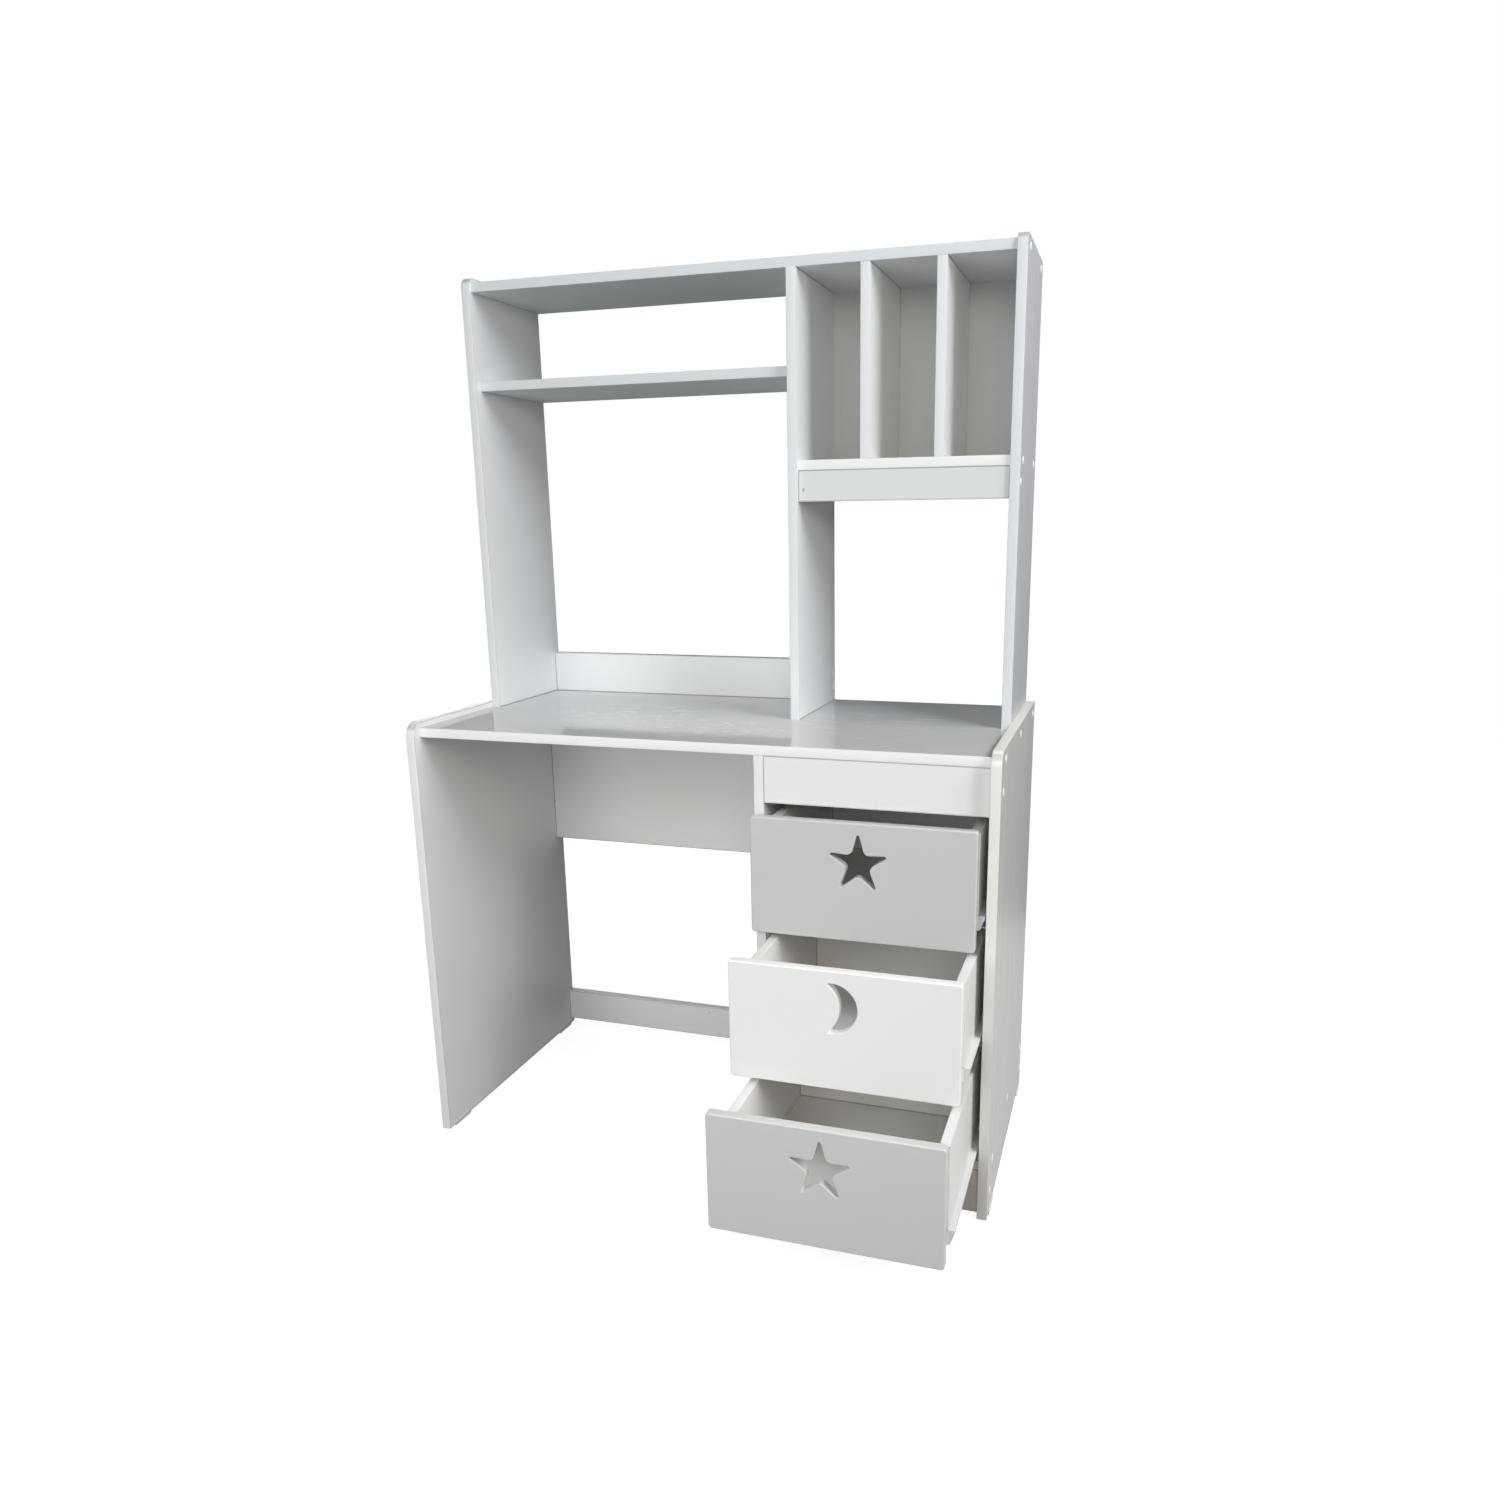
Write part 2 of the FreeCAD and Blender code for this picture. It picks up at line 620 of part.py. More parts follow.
def fasten_drawer(name, y_back, y_end, z_box, z_top, sheet_high):
    screws = []
    quarter = (z_top - sheet_high) / 4
    for z in (sheet_high + quarter, z_top - quarter):
        for head_x, direction, side in ((box_left, RIGHT, "left_side"), (box_right, LEFT, "right_side")):
            head = Vector(head_x, y_end - box_side / 2, z)
            joining_screw(head, direction, name + side, name + "back", screws)
    keep(name + "back_screws", Part.makeCompound(screws))
    locks = []
    for z in (sheet_high + quarter, z_top - quarter):
        sides = (
            (box_left + box_side, LEFT, "left_side"), (box_right - box_side, RIGHT, "right_side"),
        )
        for face_x, into_side, side in sides:
            centre = Vector(face_x, y_back + cam_setback, z)
            cam, bolt, slot = cam_lock(centre, into_side, y_back - cam_bolt_in_front)
            locks.extend([cam, bolt])
            cut_later(name + side, cylinder(cam_radius + bore_play, centre, into_side, cam_depth + bore_play))
            cut_later(name + side, slot)
            cut_later(name + "front", slot)
    keep(name + "cam_locks", Part.makeCompound(locks))


# ---- runners ----
# A runner is drawn for the right-hand side: u is the distance out from the box side towards the
# cabinet panel, w is the height over the box's bottom edge. The left-hand one is its mirror.
def runner_block(side, u_low, u_high, y_low, y_high, w_low, w_high, z_box):
    if side == "right":
        return block(box_right + u_low, box_right + u_high, y_low, y_high, z_box + w_low, z_box + w_high)
    return block(box_left - u_high, box_left - u_low, y_low, y_high, z_box + w_low, z_box + w_high)


def runner_cylinder(side, radius, u_low, u_high, y, w, z_box):
    if side == "right":
        return cylinder(radius, Vector(box_right + u_low, y, z_box + w), RIGHT, u_high - u_low)
    return cylinder(radius, Vector(box_left - u_low, y, z_box + w), LEFT, u_high - u_low)


rear_roller_w = runner_sheet + roller_play + roller_radius
front_roller_w = runner_height - runner_sheet - roller_play - roller_radius
roller_u = runner_sheet + pin_head_height + roller_play
channel_u = runner_gap - runner_sheet


def make_drawer_runners(name, y_back, z_box):
    """Track on each box side: a leg under it, a web, a lipped flange that rides the front roller,
    and a plate across its front end."""
    y_low = y_back + runner_setback
    y_high = y_low + runner_length
    tracks = []
    rollers = []
    screws = []
    sheet = runner_sheet
    for side in ("left", "right"):
        web = runner_block(side, 0, sheet, y_low, y_high, -sheet, runner_height, z_box)
        gusset = end_gusset(side, y_low, z_box)
        leg = runner_block(side, -runner_leg, sheet, y_low, y_high, -sheet, 0, z_box)
        flange = runner_block(side, 0, runner_track, y_low, y_high,
                              runner_height - sheet, runner_height, z_box)
        lip = runner_block(side, runner_track - sheet, runner_track, y_low, y_high,
                           runner_height - runner_lip, runner_height, z_box)
        track = web.fuse([leg, flange, lip, gusset]).removeSplitter()
        y_roller = y_high - roller_from_end
        rivet = runner_cylinder(side, rivet_radius, sheet / 2, roller_u + roller_width + rivet_reach,
                                y_roller, rear_roller_w, z_box)
        tracks.append(track.fuse(rivet).removeSplitter())
        wheel = runner_cylinder(side, roller_radius, roller_u, roller_u + roller_width,
                                y_roller, rear_roller_w, z_box)
        hole = runner_cylinder(side, rivet_radius + bore_play, roller_u - cutter_margin,
                               roller_u + roller_width + cutter_margin,
                               y_roller, rear_roller_w, z_box)
        rollers.append(wheel.cut(hole))
        for y in spaced(y_low, y_high - 2 * roller_from_end, 3):
            screws.append(pin_screw(side, sheet, -1, y, groove_rise / 2, z_box))
            bore = runner_cylinder(side, pin_screw_radius + bore_play, -pin_screw_length,
                                   sheet + cutter_margin, y, groove_rise / 2, z_box)
            tracks[-1] = tracks[-1].cut(bore)
            cut_later(name + side + "_side", bore)
    keep(name + "runners", Part.makeCompound(tracks))
    keep(name + "rollers", Part.makeCompound(rollers))
    keep(name + "runner_screws", Part.makeCompound(screws))


def end_gusset(side, y, z_box):
    """The plate that closes a track's front end: as wide as the flange above, tapered to its foot."""
    outline = (
        (0, -runner_sheet), (runner_gusset_foot, -runner_sheet), (runner_track, runner_height - runner_lip),
        (runner_track, runner_height), (0, runner_height),
    )
    face_x, outward = (box_right, 1) if side == "right" else (box_left, -1)
    corners = [Vector(face_x + outward * u, y, z_box + w) for u, w in outline]
    plate = Part.Face(Part.makePolygon(corners + [corners[0]]))
    return plate.extrude(Vector(0, runner_sheet, 0))


def pin_screw(side, u_head, sense, y, w, z_box):
    """A small pan-head screw: its head on a runner's web, its shank in the board behind it."""
    shank_end = u_head + sense * pin_screw_length
    head_top = u_head - sense * pin_head_height
    shank_low, shank_high = sorted((u_head, shank_end))
    head_low, head_high = sorted((u_head, head_top))
    shank = runner_cylinder(side, pin_screw_radius, shank_low, shank_high, y, w, z_box)
    head = runner_cylinder(side, pin_head_radius, head_low, head_high, y, w, z_box)
    return shank.fuse(head).removeSplitter()


def make_cabinet_runners():
    """Channels on the pedestal's two faces, each with a roller at its front and a stop for the drawer's."""
    channels = []
    rollers = []
    screws = []
    sheet = runner_sheet
    y_low = closed_front_back + runner_setback
    y_high = y_low + runner_length
    y_roller = y_low + roller_from_end
    # the drawer's own roller, at the end of its travel, meets the stop from behind
    y_stopped = closed_front_back + runner_setback + runner_length - roller_from_end - drawer_travel
    stop_depth = channel_height - sheet - rear_roller_w
    stop_reach = math.sqrt(roller_radius ** 2 - (stop_depth / 2) ** 2)
    y_stop = y_stopped - stop_reach - roller_play
    for index in range(drawer_count):
        z_box = front_top(index) - front_height + box_bottom_rise
        for side, panel in (("left", "pedestal_inner_panel"), ("right", "desk_right_side")):
            web = runner_block(side, channel_u, runner_gap, y_low, y_high, 0, runner_height, z_box)
            floor = runner_block(side, channel_u - channel_flange, runner_gap, y_low, y_high, 0, sheet, z_box)
            roof = runner_block(side, channel_u - channel_roof, runner_gap, y_low + channel_cutback, y_high,
                                channel_height - sheet, channel_height, z_box)
            stop = runner_block(side, channel_u - channel_roof, runner_gap, y_stop - stop_thickness, y_stop,
                                rear_roller_w + stop_depth / 2, channel_height, z_box)
            rivet = runner_cylinder(side, rivet_radius, roller_u - rivet_reach, channel_u + sheet / 2,
                                    y_roller, front_roller_w, z_box)
            channel = web.fuse([floor, roof, stop, rivet]).removeSplitter()
            wheel = runner_cylinder(side, roller_radius, roller_u, roller_u + roller_width,
                                    y_roller, front_roller_w, z_box)
            hole = runner_cylinder(side, rivet_radius + bore_play, roller_u - cutter_margin,
                                   roller_u + roller_width + cutter_margin,
                                   y_roller, front_roller_w, z_box)
            rollers.append(wheel.cut(hole))
            for y in spaced(y_low, y_high, 3):
                screws.append(pin_screw(side, channel_u, 1, y, rear_roller_w, z_box))
                bore = runner_cylinder(side, pin_screw_radius + bore_play, channel_u - cutter_margin,
                                       channel_u + pin_screw_length, y, rear_roller_w, z_box)
                channel = channel.cut(bore)
                cut_later(panel, bore)
            channels.append(channel)
    keep("cabinet_runners", Part.makeCompound(channels))
    keep("cabinet_rollers", Part.makeCompound(rollers))
    keep("cabinet_runner_screws", Part.makeCompound(screws))


def write_parts():
    os.makedirs("parts", exist_ok=True)
    for name, shape in parts.items():
        if name in bores:
            shape = shape.cut(bores[name])
        shape.exportStep("parts/%s.step" % name)
        print(name, len(shape.Solids), round(shape.Volume))


make_desk()
make_pedestal_back()
make_glides()
fasten_desk()
make_hutch()
make_cubby_back()
fasten_hutch()
for drawer_index in range(drawer_count):
    make_drawer(drawer_index)
make_cabinet_runners()
keep("assembly_screws", Part.makeCompound(assembly_screws))
keep("cover_caps", Part.makeCompound(cover_caps))
keep("locating_dowels", Part.makeCompound(locating_dowels))
write_parts()
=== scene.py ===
import json
import math

import bmesh
import bpy
import numpy as np
from mathutils import Matrix, Vector


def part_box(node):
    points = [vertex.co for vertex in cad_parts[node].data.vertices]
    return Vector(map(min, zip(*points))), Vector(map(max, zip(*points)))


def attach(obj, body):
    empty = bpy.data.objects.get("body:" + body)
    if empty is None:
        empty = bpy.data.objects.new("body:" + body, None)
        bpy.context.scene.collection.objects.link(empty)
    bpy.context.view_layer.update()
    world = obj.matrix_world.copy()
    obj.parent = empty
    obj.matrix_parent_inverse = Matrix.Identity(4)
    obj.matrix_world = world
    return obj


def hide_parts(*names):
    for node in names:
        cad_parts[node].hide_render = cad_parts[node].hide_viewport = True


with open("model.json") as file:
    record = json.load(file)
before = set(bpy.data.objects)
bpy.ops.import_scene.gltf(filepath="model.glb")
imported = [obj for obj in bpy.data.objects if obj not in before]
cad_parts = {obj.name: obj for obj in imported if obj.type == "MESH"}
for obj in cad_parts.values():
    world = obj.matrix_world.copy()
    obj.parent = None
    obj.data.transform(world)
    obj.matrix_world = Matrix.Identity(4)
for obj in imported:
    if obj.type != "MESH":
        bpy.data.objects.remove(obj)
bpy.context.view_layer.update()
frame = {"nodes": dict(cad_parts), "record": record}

# A student desk with a hutch, dressed for rendering. Metres, Z up, the desk's front faces -Y.
nodes = frame["nodes"]
bodyOf = {n: body for body, members in frame["record"]["behaviour"]["bodies"].items() for n in members}
slotOf = {row["node"]: row["material_slot"] for row in frame["record"]["subparts"]}


# ---- camera ----
camera = {
    "place": (1.17306, -1.62038, 1.08919),
    "heading": 17.414,          # degrees turned left from straight ahead
    "tilt": 13.776,             # degrees down
    "roll": -0.647,
    "lens": 26.796,
    "shift": (-0.02874, 0.02809),
}


def makeCamera(look):
    data = bpy.data.cameras.new("camera")
    data.lens = look["lens"]
    data.shift_x, data.shift_y = look["shift"]
    data.clip_start, data.clip_end = 0.05, 60
    eye = bpy.data.objects.new("camera", data)
    turn = Matrix.Rotation(math.radians(look["heading"]), 4, "Z")
    tip = Matrix.Rotation(math.radians(90 - look["tilt"]), 4, "X")
    lean = Matrix.Rotation(math.radians(look["roll"]), 4, "Z")
    eye.matrix_world = Matrix.Translation(look["place"]) @ turn @ tip @ lean
    bpy.context.scene.collection.objects.link(eye)
    bpy.context.scene.camera = eye


makeCamera(camera)
bpy.context.scene.view_settings.view_transform = "Standard"
print("camera set")


# ---- shader maths ----
class Flow:
    # one value inside a material: operators add Math nodes, node() adds any other kind

    def __init__(self, tree, socket=None):
        self.tree = tree
        self.socket = socket

    def node(self, kind, settings=None, values=None, out=0):
        made = self.tree.nodes.new(kind)
        for key, setting in (settings or {}).items():
            setattr(made, key, setting)
        for key, value in (values or {}).items():
            if isinstance(value, Flow):
                self.tree.links.new(value.socket, made.inputs[key])
            else:
                made.inputs[key].default_value = value
        return Flow(self.tree, made.outputs[out] if made.outputs else None)

    def maths(self, operation, first, second):
        return self.node("ShaderNodeMath", {"operation": operation}, {0: first, 1: second})

    def __add__(self, other):
        return self.maths("ADD", self, other)

    __radd__ = __add__

    def __sub__(self, other):
        return self.maths("SUBTRACT", self, other)

    def __rsub__(self, other):
        return self.maths("SUBTRACT", other, self)

    def __mul__(self, other):
        return self.maths("MULTIPLY", self, other)

    __rmul__ = __mul__

    def __abs__(self):
        return self.node("ShaderNodeMath", {"operation": "ABSOLUTE"}, {0: self})

    def __or__(self, other):        # the larger of two masks
        return self.maths("MAXIMUM", self, other)


def between(value, low, high):
    # 0 below low, 1 above high, a smooth step from one to the other
    settings = {"interpolation_type": "SMOOTHSTEP"}
    return value.node("ShaderNodeMapRange", settings, {0: value, 1: low, 2: high, 3: 0.0, 4: 1.0})


def mixed(factor, first, second):
    colours = {0: factor, 6: first, 7: second}
    return factor.node("ShaderNodeMix", {"data_type": "RGBA"}, colours, out=2)


def shaded(colour, factor):
    # a colour times a number
    return factor.node("ShaderNodeVectorMath", {"operation": "SCALE"}, {0: colour, 3: factor})


def noise(place, scale, detail=2.0, roughness=0.5, twist=0.0):
    values = {"Scale": scale, "Detail": detail, "Roughness": roughness, "Distortion": twist}
    return place.node("ShaderNodeTexNoise", None, {"Vector": place, **values})


def stretched(place, scale, shift=(0.0, 0.0, 0.0)):
    return place.node("ShaderNodeMapping", None, {"Vector": place, "Location": shift, "Scale": scale})


def part(vector, axis):
    return vector.node("ShaderNodeSeparateXYZ", None, {0: vector}, out=axis)


def lesser(first, second):
    return first.maths("MINIMUM", first, second)


def patch(place, centre, reach):
    # 1 inside an ellipsoid round centre, fading to 0 at its edge
    shift = [-c / r for c, r in zip(centre, reach)]
    inside = stretched(place, [1 / r for r in reach], shift)
    away = inside.node("ShaderNodeVectorMath", {"operation": "LENGTH"}, {0: inside}, out="Value")
    return 1.0 - between(away, 0.45, 1.0)


def bumped(height, strength, depth):
    return height.node("ShaderNodeBump", None, {"Strength": strength, "Distance": depth, "Height": height})


def rgba(colour):
    return (*colour, 1.0)


class Finish:
    # a material: steady values sit on the shader's sockets, varying ones are plugged in

    def __init__(self, name, steady):
        self.material = bpy.data.materials.new(name)
        self.material.use_nodes = True
        tree = self.material.node_tree
        self.shader = tree.nodes["Principled BSDF"]
        for socket, value in steady.items():
            self.shader.inputs[socket].default_value = value
        self.start = Flow(tree)
        self.place = self.start.node("ShaderNodeTexCoord", out="Object")
        self.normal = self.start.node("ShaderNodeNewGeometry", out="Normal")

    def plug(self, varying):
        for socket, flow in varying.items():
            self.start.tree.links.new(flow.socket, self.shader.inputs[socket])
        return self.material


# ---- laminate ----
laminate = {
    "roughness": 0.38,
    "gloss": 0.34,              # specular level
    "pearl": 1100.0,            # grains per metre of the pressed texture
    "pearlDepth": 0.00004,
    "pearlDull": 0.05,
    "tone": 0.035,              # how far the sheet's tone drifts
    "drift": 2.3,               # its wide and its narrow waves per metre
    "cloud": 9.0,
    "smear": 0.10,              # how far wiping changes the roughness
    "smears": 5.0,
    "specks": 420.0,
    "speckDark": 0.10,
    # painted shade: the joints' hairline, its width and how dark it is
    "joint": 0.0022,
    "jointShade": 0.50,
    "boxJointShade": 0.28,       # painted shade where a drawer's bottom meets its sides
    # outer faces against the inner ones, where they are a greyer sheet
    "outer": {"desk_right_side": (0.672, 0.658, 0.668), "hutch_right_side": (0.610, 0.622, 0.662)},
    "streak": 0.55,
    # their wide and fine streaks: how the board is stretched, and waves per metre of that
    "wideStreaks": ((1.0, 9.0, 0.55), 5.0),
    "fineStreaks": ((1.0, 22.0, 0.9), 9.0),
    # dark marks: from the board's left end and its bottom, and their reach
    "marks": {
        "lower_back_rail": ((0.3323, 0.0526), (0.0008, 0.0042)),
        "cubby_apron": ((0.0092, 0.0185), (0.0030, 0.0045)),
        "modesty_panel": ((0.0010, 0.0791), (0.0022, 0.0026)),
    },
    "markDark": 0.45,
    "trackRise": 0.0228,        # painted shade: a dark line on a drawer side, over the runner's flange
    "trackLine": 0.0014,
}
core = {
    "dark": (0.20, 0.125, 0.065),
    "light": (0.62, 0.46, 0.29),
    "along": 230.0,             # chips per metre in the board's plane
    "through": 780.0,           # and through its thickness
    "clouds": 60.0,
    "gap": 0.10,                # the dark gap between chips, as a share of a chip
    "depth": 0.0004,
    "dullness": 0.45,           # how much rougher than the sheet
}


def chipboard(finish, thin, look=core):
    # pressed chips: cells drawn out in the board's plane, each of its own brown, with dark gaps
    scale = [look["along"]] * 3
    scale[thin] = look["through"]
    place = stretched(finish.place, scale)
    bent = place.node("ShaderNodeVectorMath", {"operation": "ADD"}, {0: place, 1: noise(place, 0.6)})
    cells = {"Vector": bent, "Scale": 1.0, "Randomness": 1.0}
    cell = bent.node("ShaderNodeTexVoronoi", None, cells, out="Color")
    gap = bent.node("ShaderNodeTexVoronoi", {"feature": "DISTANCE_TO_EDGE"}, cells)
    height = part(cell, 0) * between(gap, 0.0, look["gap"] * 1.2)
    light = part(cell, 1) * 0.8 + 0.2 * noise(finish.place, look["clouds"])
    brown = mixed(light, rgba(look["dark"]), rgba(look["light"]))
    return shaded(brown, 0.45 + 0.55 * between(gap, 0.0, look["gap"])), height


def hairline(place, low, high, axes, look=laminate):
    # 1 in a hairline along the borders of a rectangle: painted shade, darkening the joint with the next
    # board
    line = None
    for axis in axes:
        along = part(place, axis)
        inset = lesser(along - low[axis], high[axis] - along)
        ends = 1.0 - between(inset, look["joint"] * 0.4, look["joint"])
        line = ends if line is None else line | ends
    return line


def jointLine(place, name, thin, look=laminate):
    low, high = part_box(name)
    if name.startswith("drawer") and name.endswith("side"):
        # a drawer side takes a painted-shade line over its runner
        rise = part(place, 2) - (low[2] + look["trackRise"])
        return 1.0 - between(abs(rise), look["trackLine"] * 0.3, look["trackLine"] * 0.5)
    return hairline(place, low, high, [axis for axis in range(3) if axis != thin])


def boxLine(place, drawer):
    # the same painted-shade hairline where a drawer's bottom meets the boards that stand on it
    left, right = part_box(drawer + "_left_side")[1][0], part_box(drawer + "_right_side")[0][0]
    front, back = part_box(drawer + "_front")[1][1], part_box(drawer + "_back")[0][1]
    return hairline(place, (left, front), (right, back), (0, 1))


def outerGrain(finish, look=laminate):
    # the outer faces of the right-hand sides: a greyer sheet with drawn-out streaks up the board
    outer = between(part(finish.normal, 0), 0.5, 0.8)
    (wideStretch, wideWaves), (fineStretch, fineWaves) = look["wideStreaks"], look["fineStreaks"]
    wide = noise(stretched(finish.place, wideStretch), wideWaves, 4.0, 0.6, 0.5)
    fine = noise(stretched(finish.place, fineStretch), fineWaves, 4.0, 0.7, 0.8)
    streak = 0.55 * wide + 0.45 * fine
    return outer, 1.0 + look["streak"] * (streak - 0.5)


def seedShift(seed):
    # each board takes its own stretch of the noises
    return (seed * 0.37, seed * 0.71, seed * 0.13)


def laminateFinish(name, thin, colour, seed, look=laminate, grain=(1.0, 1.0, 1.0)):
    # A pressed paper face: a drifting tone, wiped smears in the gloss, a fine pearl and a few specks.
    # Where an edge has no strip, at the rear and underneath, the board's core shows.
    finish = Finish(name + "_laminate", {"Specular IOR Level": look["gloss"], "IOR": 1.5})
    shift = seedShift(seed)
    place = stretched(finish.place, (1.0, 1.0, 1.0), shift)
    drift = noise(place, look["drift"], 3.0)
    cloud = noise(stretched(finish.place, grain, shift), look["cloud"], 4.0, 0.6)
    tone = 1.0 + look["tone"] * (drift * 0.6 + cloud * 0.4 - 0.5)
    axes = [part(finish.normal, axis) for axis in range(3)]
    face = between(abs(axes[thin]), 0.4, 0.7)
    speck = 1.0 - between(noise(place, look["specks"], 0.0), 0.12, 0.17)
    shade = tone * (1.0 - look["speckDark"] * speck * face)
    # painted shade: a darker hairline along the board's borders, where it meets the next board
    shade = shade * (1.0 - look["jointShade"] * jointLine(finish.place, name, thin))
    if name in look["marks"]:
        (x, z), (reachX, reachZ) = look["marks"][name]
        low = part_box(name)[0]
        mark = patch(finish.place, (low[0] + x, low[1], low[2] + z), (reachX, 0.002, reachZ))
        shade = shade * (1.0 - look["markDark"] * mark)
    if name in look["outer"]:
        outer, streaks = outerGrain(finish)
        shade = shade * (1.0 - outer + outer * streaks)
        colour = mixed(outer, rgba(colour), rgba(np.multiply(colour, look["outer"][name])))
    smear = noise(stretched(finish.place, (3.0, 3.0, 1.0), shift), look["smears"], 3.0, 0.6)
    pearl = noise(place, look["pearl"], 1.0)
    rear = between(axes[1], 0.6, 0.8)
    under = between(0.0 - axes[2], 0.6, 0.8)
    raw = rear if thin == 2 else under if thin == 1 else rear | under
    brown, chips = chipboard(finish, thin)
    height = pearl * (1.0 - raw) * look["pearlDepth"] + chips * raw * core["depth"]
    sheen = look["roughness"] + look["smear"] * (smear - 0.5) + look["pearlDull"] * pearl
    return finish.plug({
        "Base Color": mixed(raw, shaded(colour, shade), brown),
        "Roughness": sheen + core["dullness"] * raw,
        "Normal": bumped(height, 0.35, 1.0),
    })


def thinAxis(name):
    low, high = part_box(name)
    sizes = [high[i] - low[i] for i in range(3)]
    return sizes.index(min(sizes))


def dress(name, material):
    slots = nodes[name].material_slots
    if not slots:
        nodes[name].data.materials.append(material)
    for slot in slots:
        slot.material = material


boards = [name for name, slot in slotOf.items() if slot == "white_laminate"]
boardTones = {
    "hutch": (0.845, 0.860, 0.868),
    "cubby": (0.885, 0.886, 0.872),
    "drawer": (0.890, 0.885, 0.870),
    "desk": (0.862, 0.868, 0.862),
    "pedestal": (0.870, 0.872, 0.862),
}
ownTones = {
    "pedestal_front_plinth": (0.90, 0.845, 0.79),
    # painted shade: these two boards are darker all over, standing in for their undersides in shade
    "hutch_top": (0.740, 0.762, 0.768),
    "hutch_left_shelf": (0.740, 0.760, 0.770),
    "hutch_lower_rail": (0.885, 0.900, 0.905),
    "pedestal_top_rail": (0.848, 0.850, 0.840),
}
for number, name in enumerate(boards):
    tone = ownTones.get(name) or boardTones[name.split("_")[0]]
    dress(name, laminateFinish(name, thinAxis(name), tone, number))
print("laminate:", len(boards), "boards")


# ---- grey boards ----
greyBoard = dict(laminate, tone=0.05, roughness=0.42)
greyTones = {
    # painted shade: the apron is darker, standing in for the shadow it lies in
    "cubby_apron": (0.690, 0.700, 0.712),
    "modesty_panel": (0.860, 0.862, 0.852),
    "lower_back_rail": (0.905, 0.910, 0.900),
}
for number, (name, tone) in enumerate(greyTones.items()):
    dress(name, laminateFinish(name, 1, tone, 40 + number, greyBoard, (0.4, 1.0, 2.0)))
print("grey boards:", len(greyTones))


# ---- desktop ----
desktop = {
    "colour": (0.700, 0.713, 0.718),
    "edge": (0.862, 0.870, 0.868),
    "roughness": 0.065,
    "edgeDull": 0.26,
    "smudgeColour": (0.88, 0.89, 0.90),
    "smudgeMix": 0.8,
    "smudgeDull": 0.16,
    "strokeColour": (0.88, 0.89, 0.89),
    "strokeMix": 0.75,
    "strokeDull": 0.10,
    "filmMix": 0.05,
    "filmDull": 0.04,
    "jointShade": 0.4,
    "ripple": 14.0,             # waves per metre
    "rippleDepth": 0.00006,
    # waves per metre, and the noise where a mark begins and where it is whole
    "flakes": (30.0, 0.50, 0.62),
    "arcs": (24.0, 0.52, 0.68),
    "film": (6.0, 0.35, 0.75),
    # centre and reach of the dull smudges on the left, and of the wiping strokes on the right
    "smudges": [((0.30, 0.19, 0.75), (0.16, 0.15, 0.1)), ((0.49, 0.10, 0.75), (0.17, 0.10, 0.1))],
    "strokes": [((0.78, 0.20, 0.75), (0.20, 0.19, 0.1))],
}


def desktopFinish(look):
    # Polished sheet, mirror-like where it is clean. Smudges dull the mirror in ragged flakes, and
    # wiping strokes leave pale arcs; the whole sheet carries a faint film. The rear edge is raw.
    finish = Finish("desktop_laminate", {"Specular IOR Level": 0.5, "IOR": 1.5})
    place = finish.place
    smudged, stroked = (patch(place, *look[key][0]) for key in ("smudges", "strokes"))
    for spot in look["smudges"][1:]:
        smudged = smudged | patch(place, *spot)
    waves, *ends = look["flakes"]
    smudge = between(noise(stretched(place, (1.0, 1.5, 1.0)), waves, 6.0, 0.60, 0.7), *ends) * smudged
    waves, *ends = look["arcs"]
    stroke = between(noise(stretched(place, (0.55, 2.6, 1.0)), waves, 5.0, 0.62, 1.4), *ends) * stroked
    waves, *ends = look["film"]
    film = between(noise(place, waves, 4.0, 0.6), *ends)
    up = between(part(finish.normal, 2), 0.5, 0.8)
    rear = between(part(finish.normal, 1), 0.6, 0.8)
    top = mixed(smudge * look["smudgeMix"], rgba(look["colour"]), rgba(look["smudgeColour"]))
    top = mixed(stroke * look["strokeMix"] + film * look["filmMix"], top, rgba(look["strokeColour"]))
    # painted shade: the top face darkens in a hairline along its borders
    top = shaded(top, 1.0 - look["jointShade"] * jointLine(place, "desktop", 2) * up)
    brown, chips = chipboard(finish, 2)
    ripple = noise(place, look["ripple"])
    dull = look["smudgeDull"] * smudge + look["strokeDull"] * stroke + look["filmDull"] * film
    return finish.plug({
        "Base Color": mixed(rear, mixed(up, rgba(look["edge"]), top), brown),
        "Roughness": look["roughness"] + dull + look["edgeDull"] * (1.0 - up),
        "Normal": bumped(ripple * look["rippleDepth"] + chips * rear * core["depth"], 0.35, 1.0),
    })


dress("desktop", desktopFinish(desktop))
print("desktop")


# ---- lacquer ----
lacquer = {
    "drawer_1_front": {"colour": (0.600, 0.600, 0.595), "seed": 3, "rubbed": 0.0},
    "drawer_2_front": {"colour": (0.950, 0.945, 0.938), "seed": 5, "rubbed": 0.0},
    "drawer_3_front": {"colour": (0.672, 0.678, 0.674), "seed": 8, "rubbed": 0.7},
}
spray = {
    "gloss": 0.45,              # specular level
    "roughness": 0.34,
    "driftDull": 0.12,
    "wornDull": 0.4,
    "drift": 3.0,               # waves per metre of its tone
    "peel": 420.0,
    "peelDepth": 0.00006,
    "spots": 95.0,              # rubbed spots
    "fibre": (0.36, 0.235, 0.14),   # bare fibreboard
}


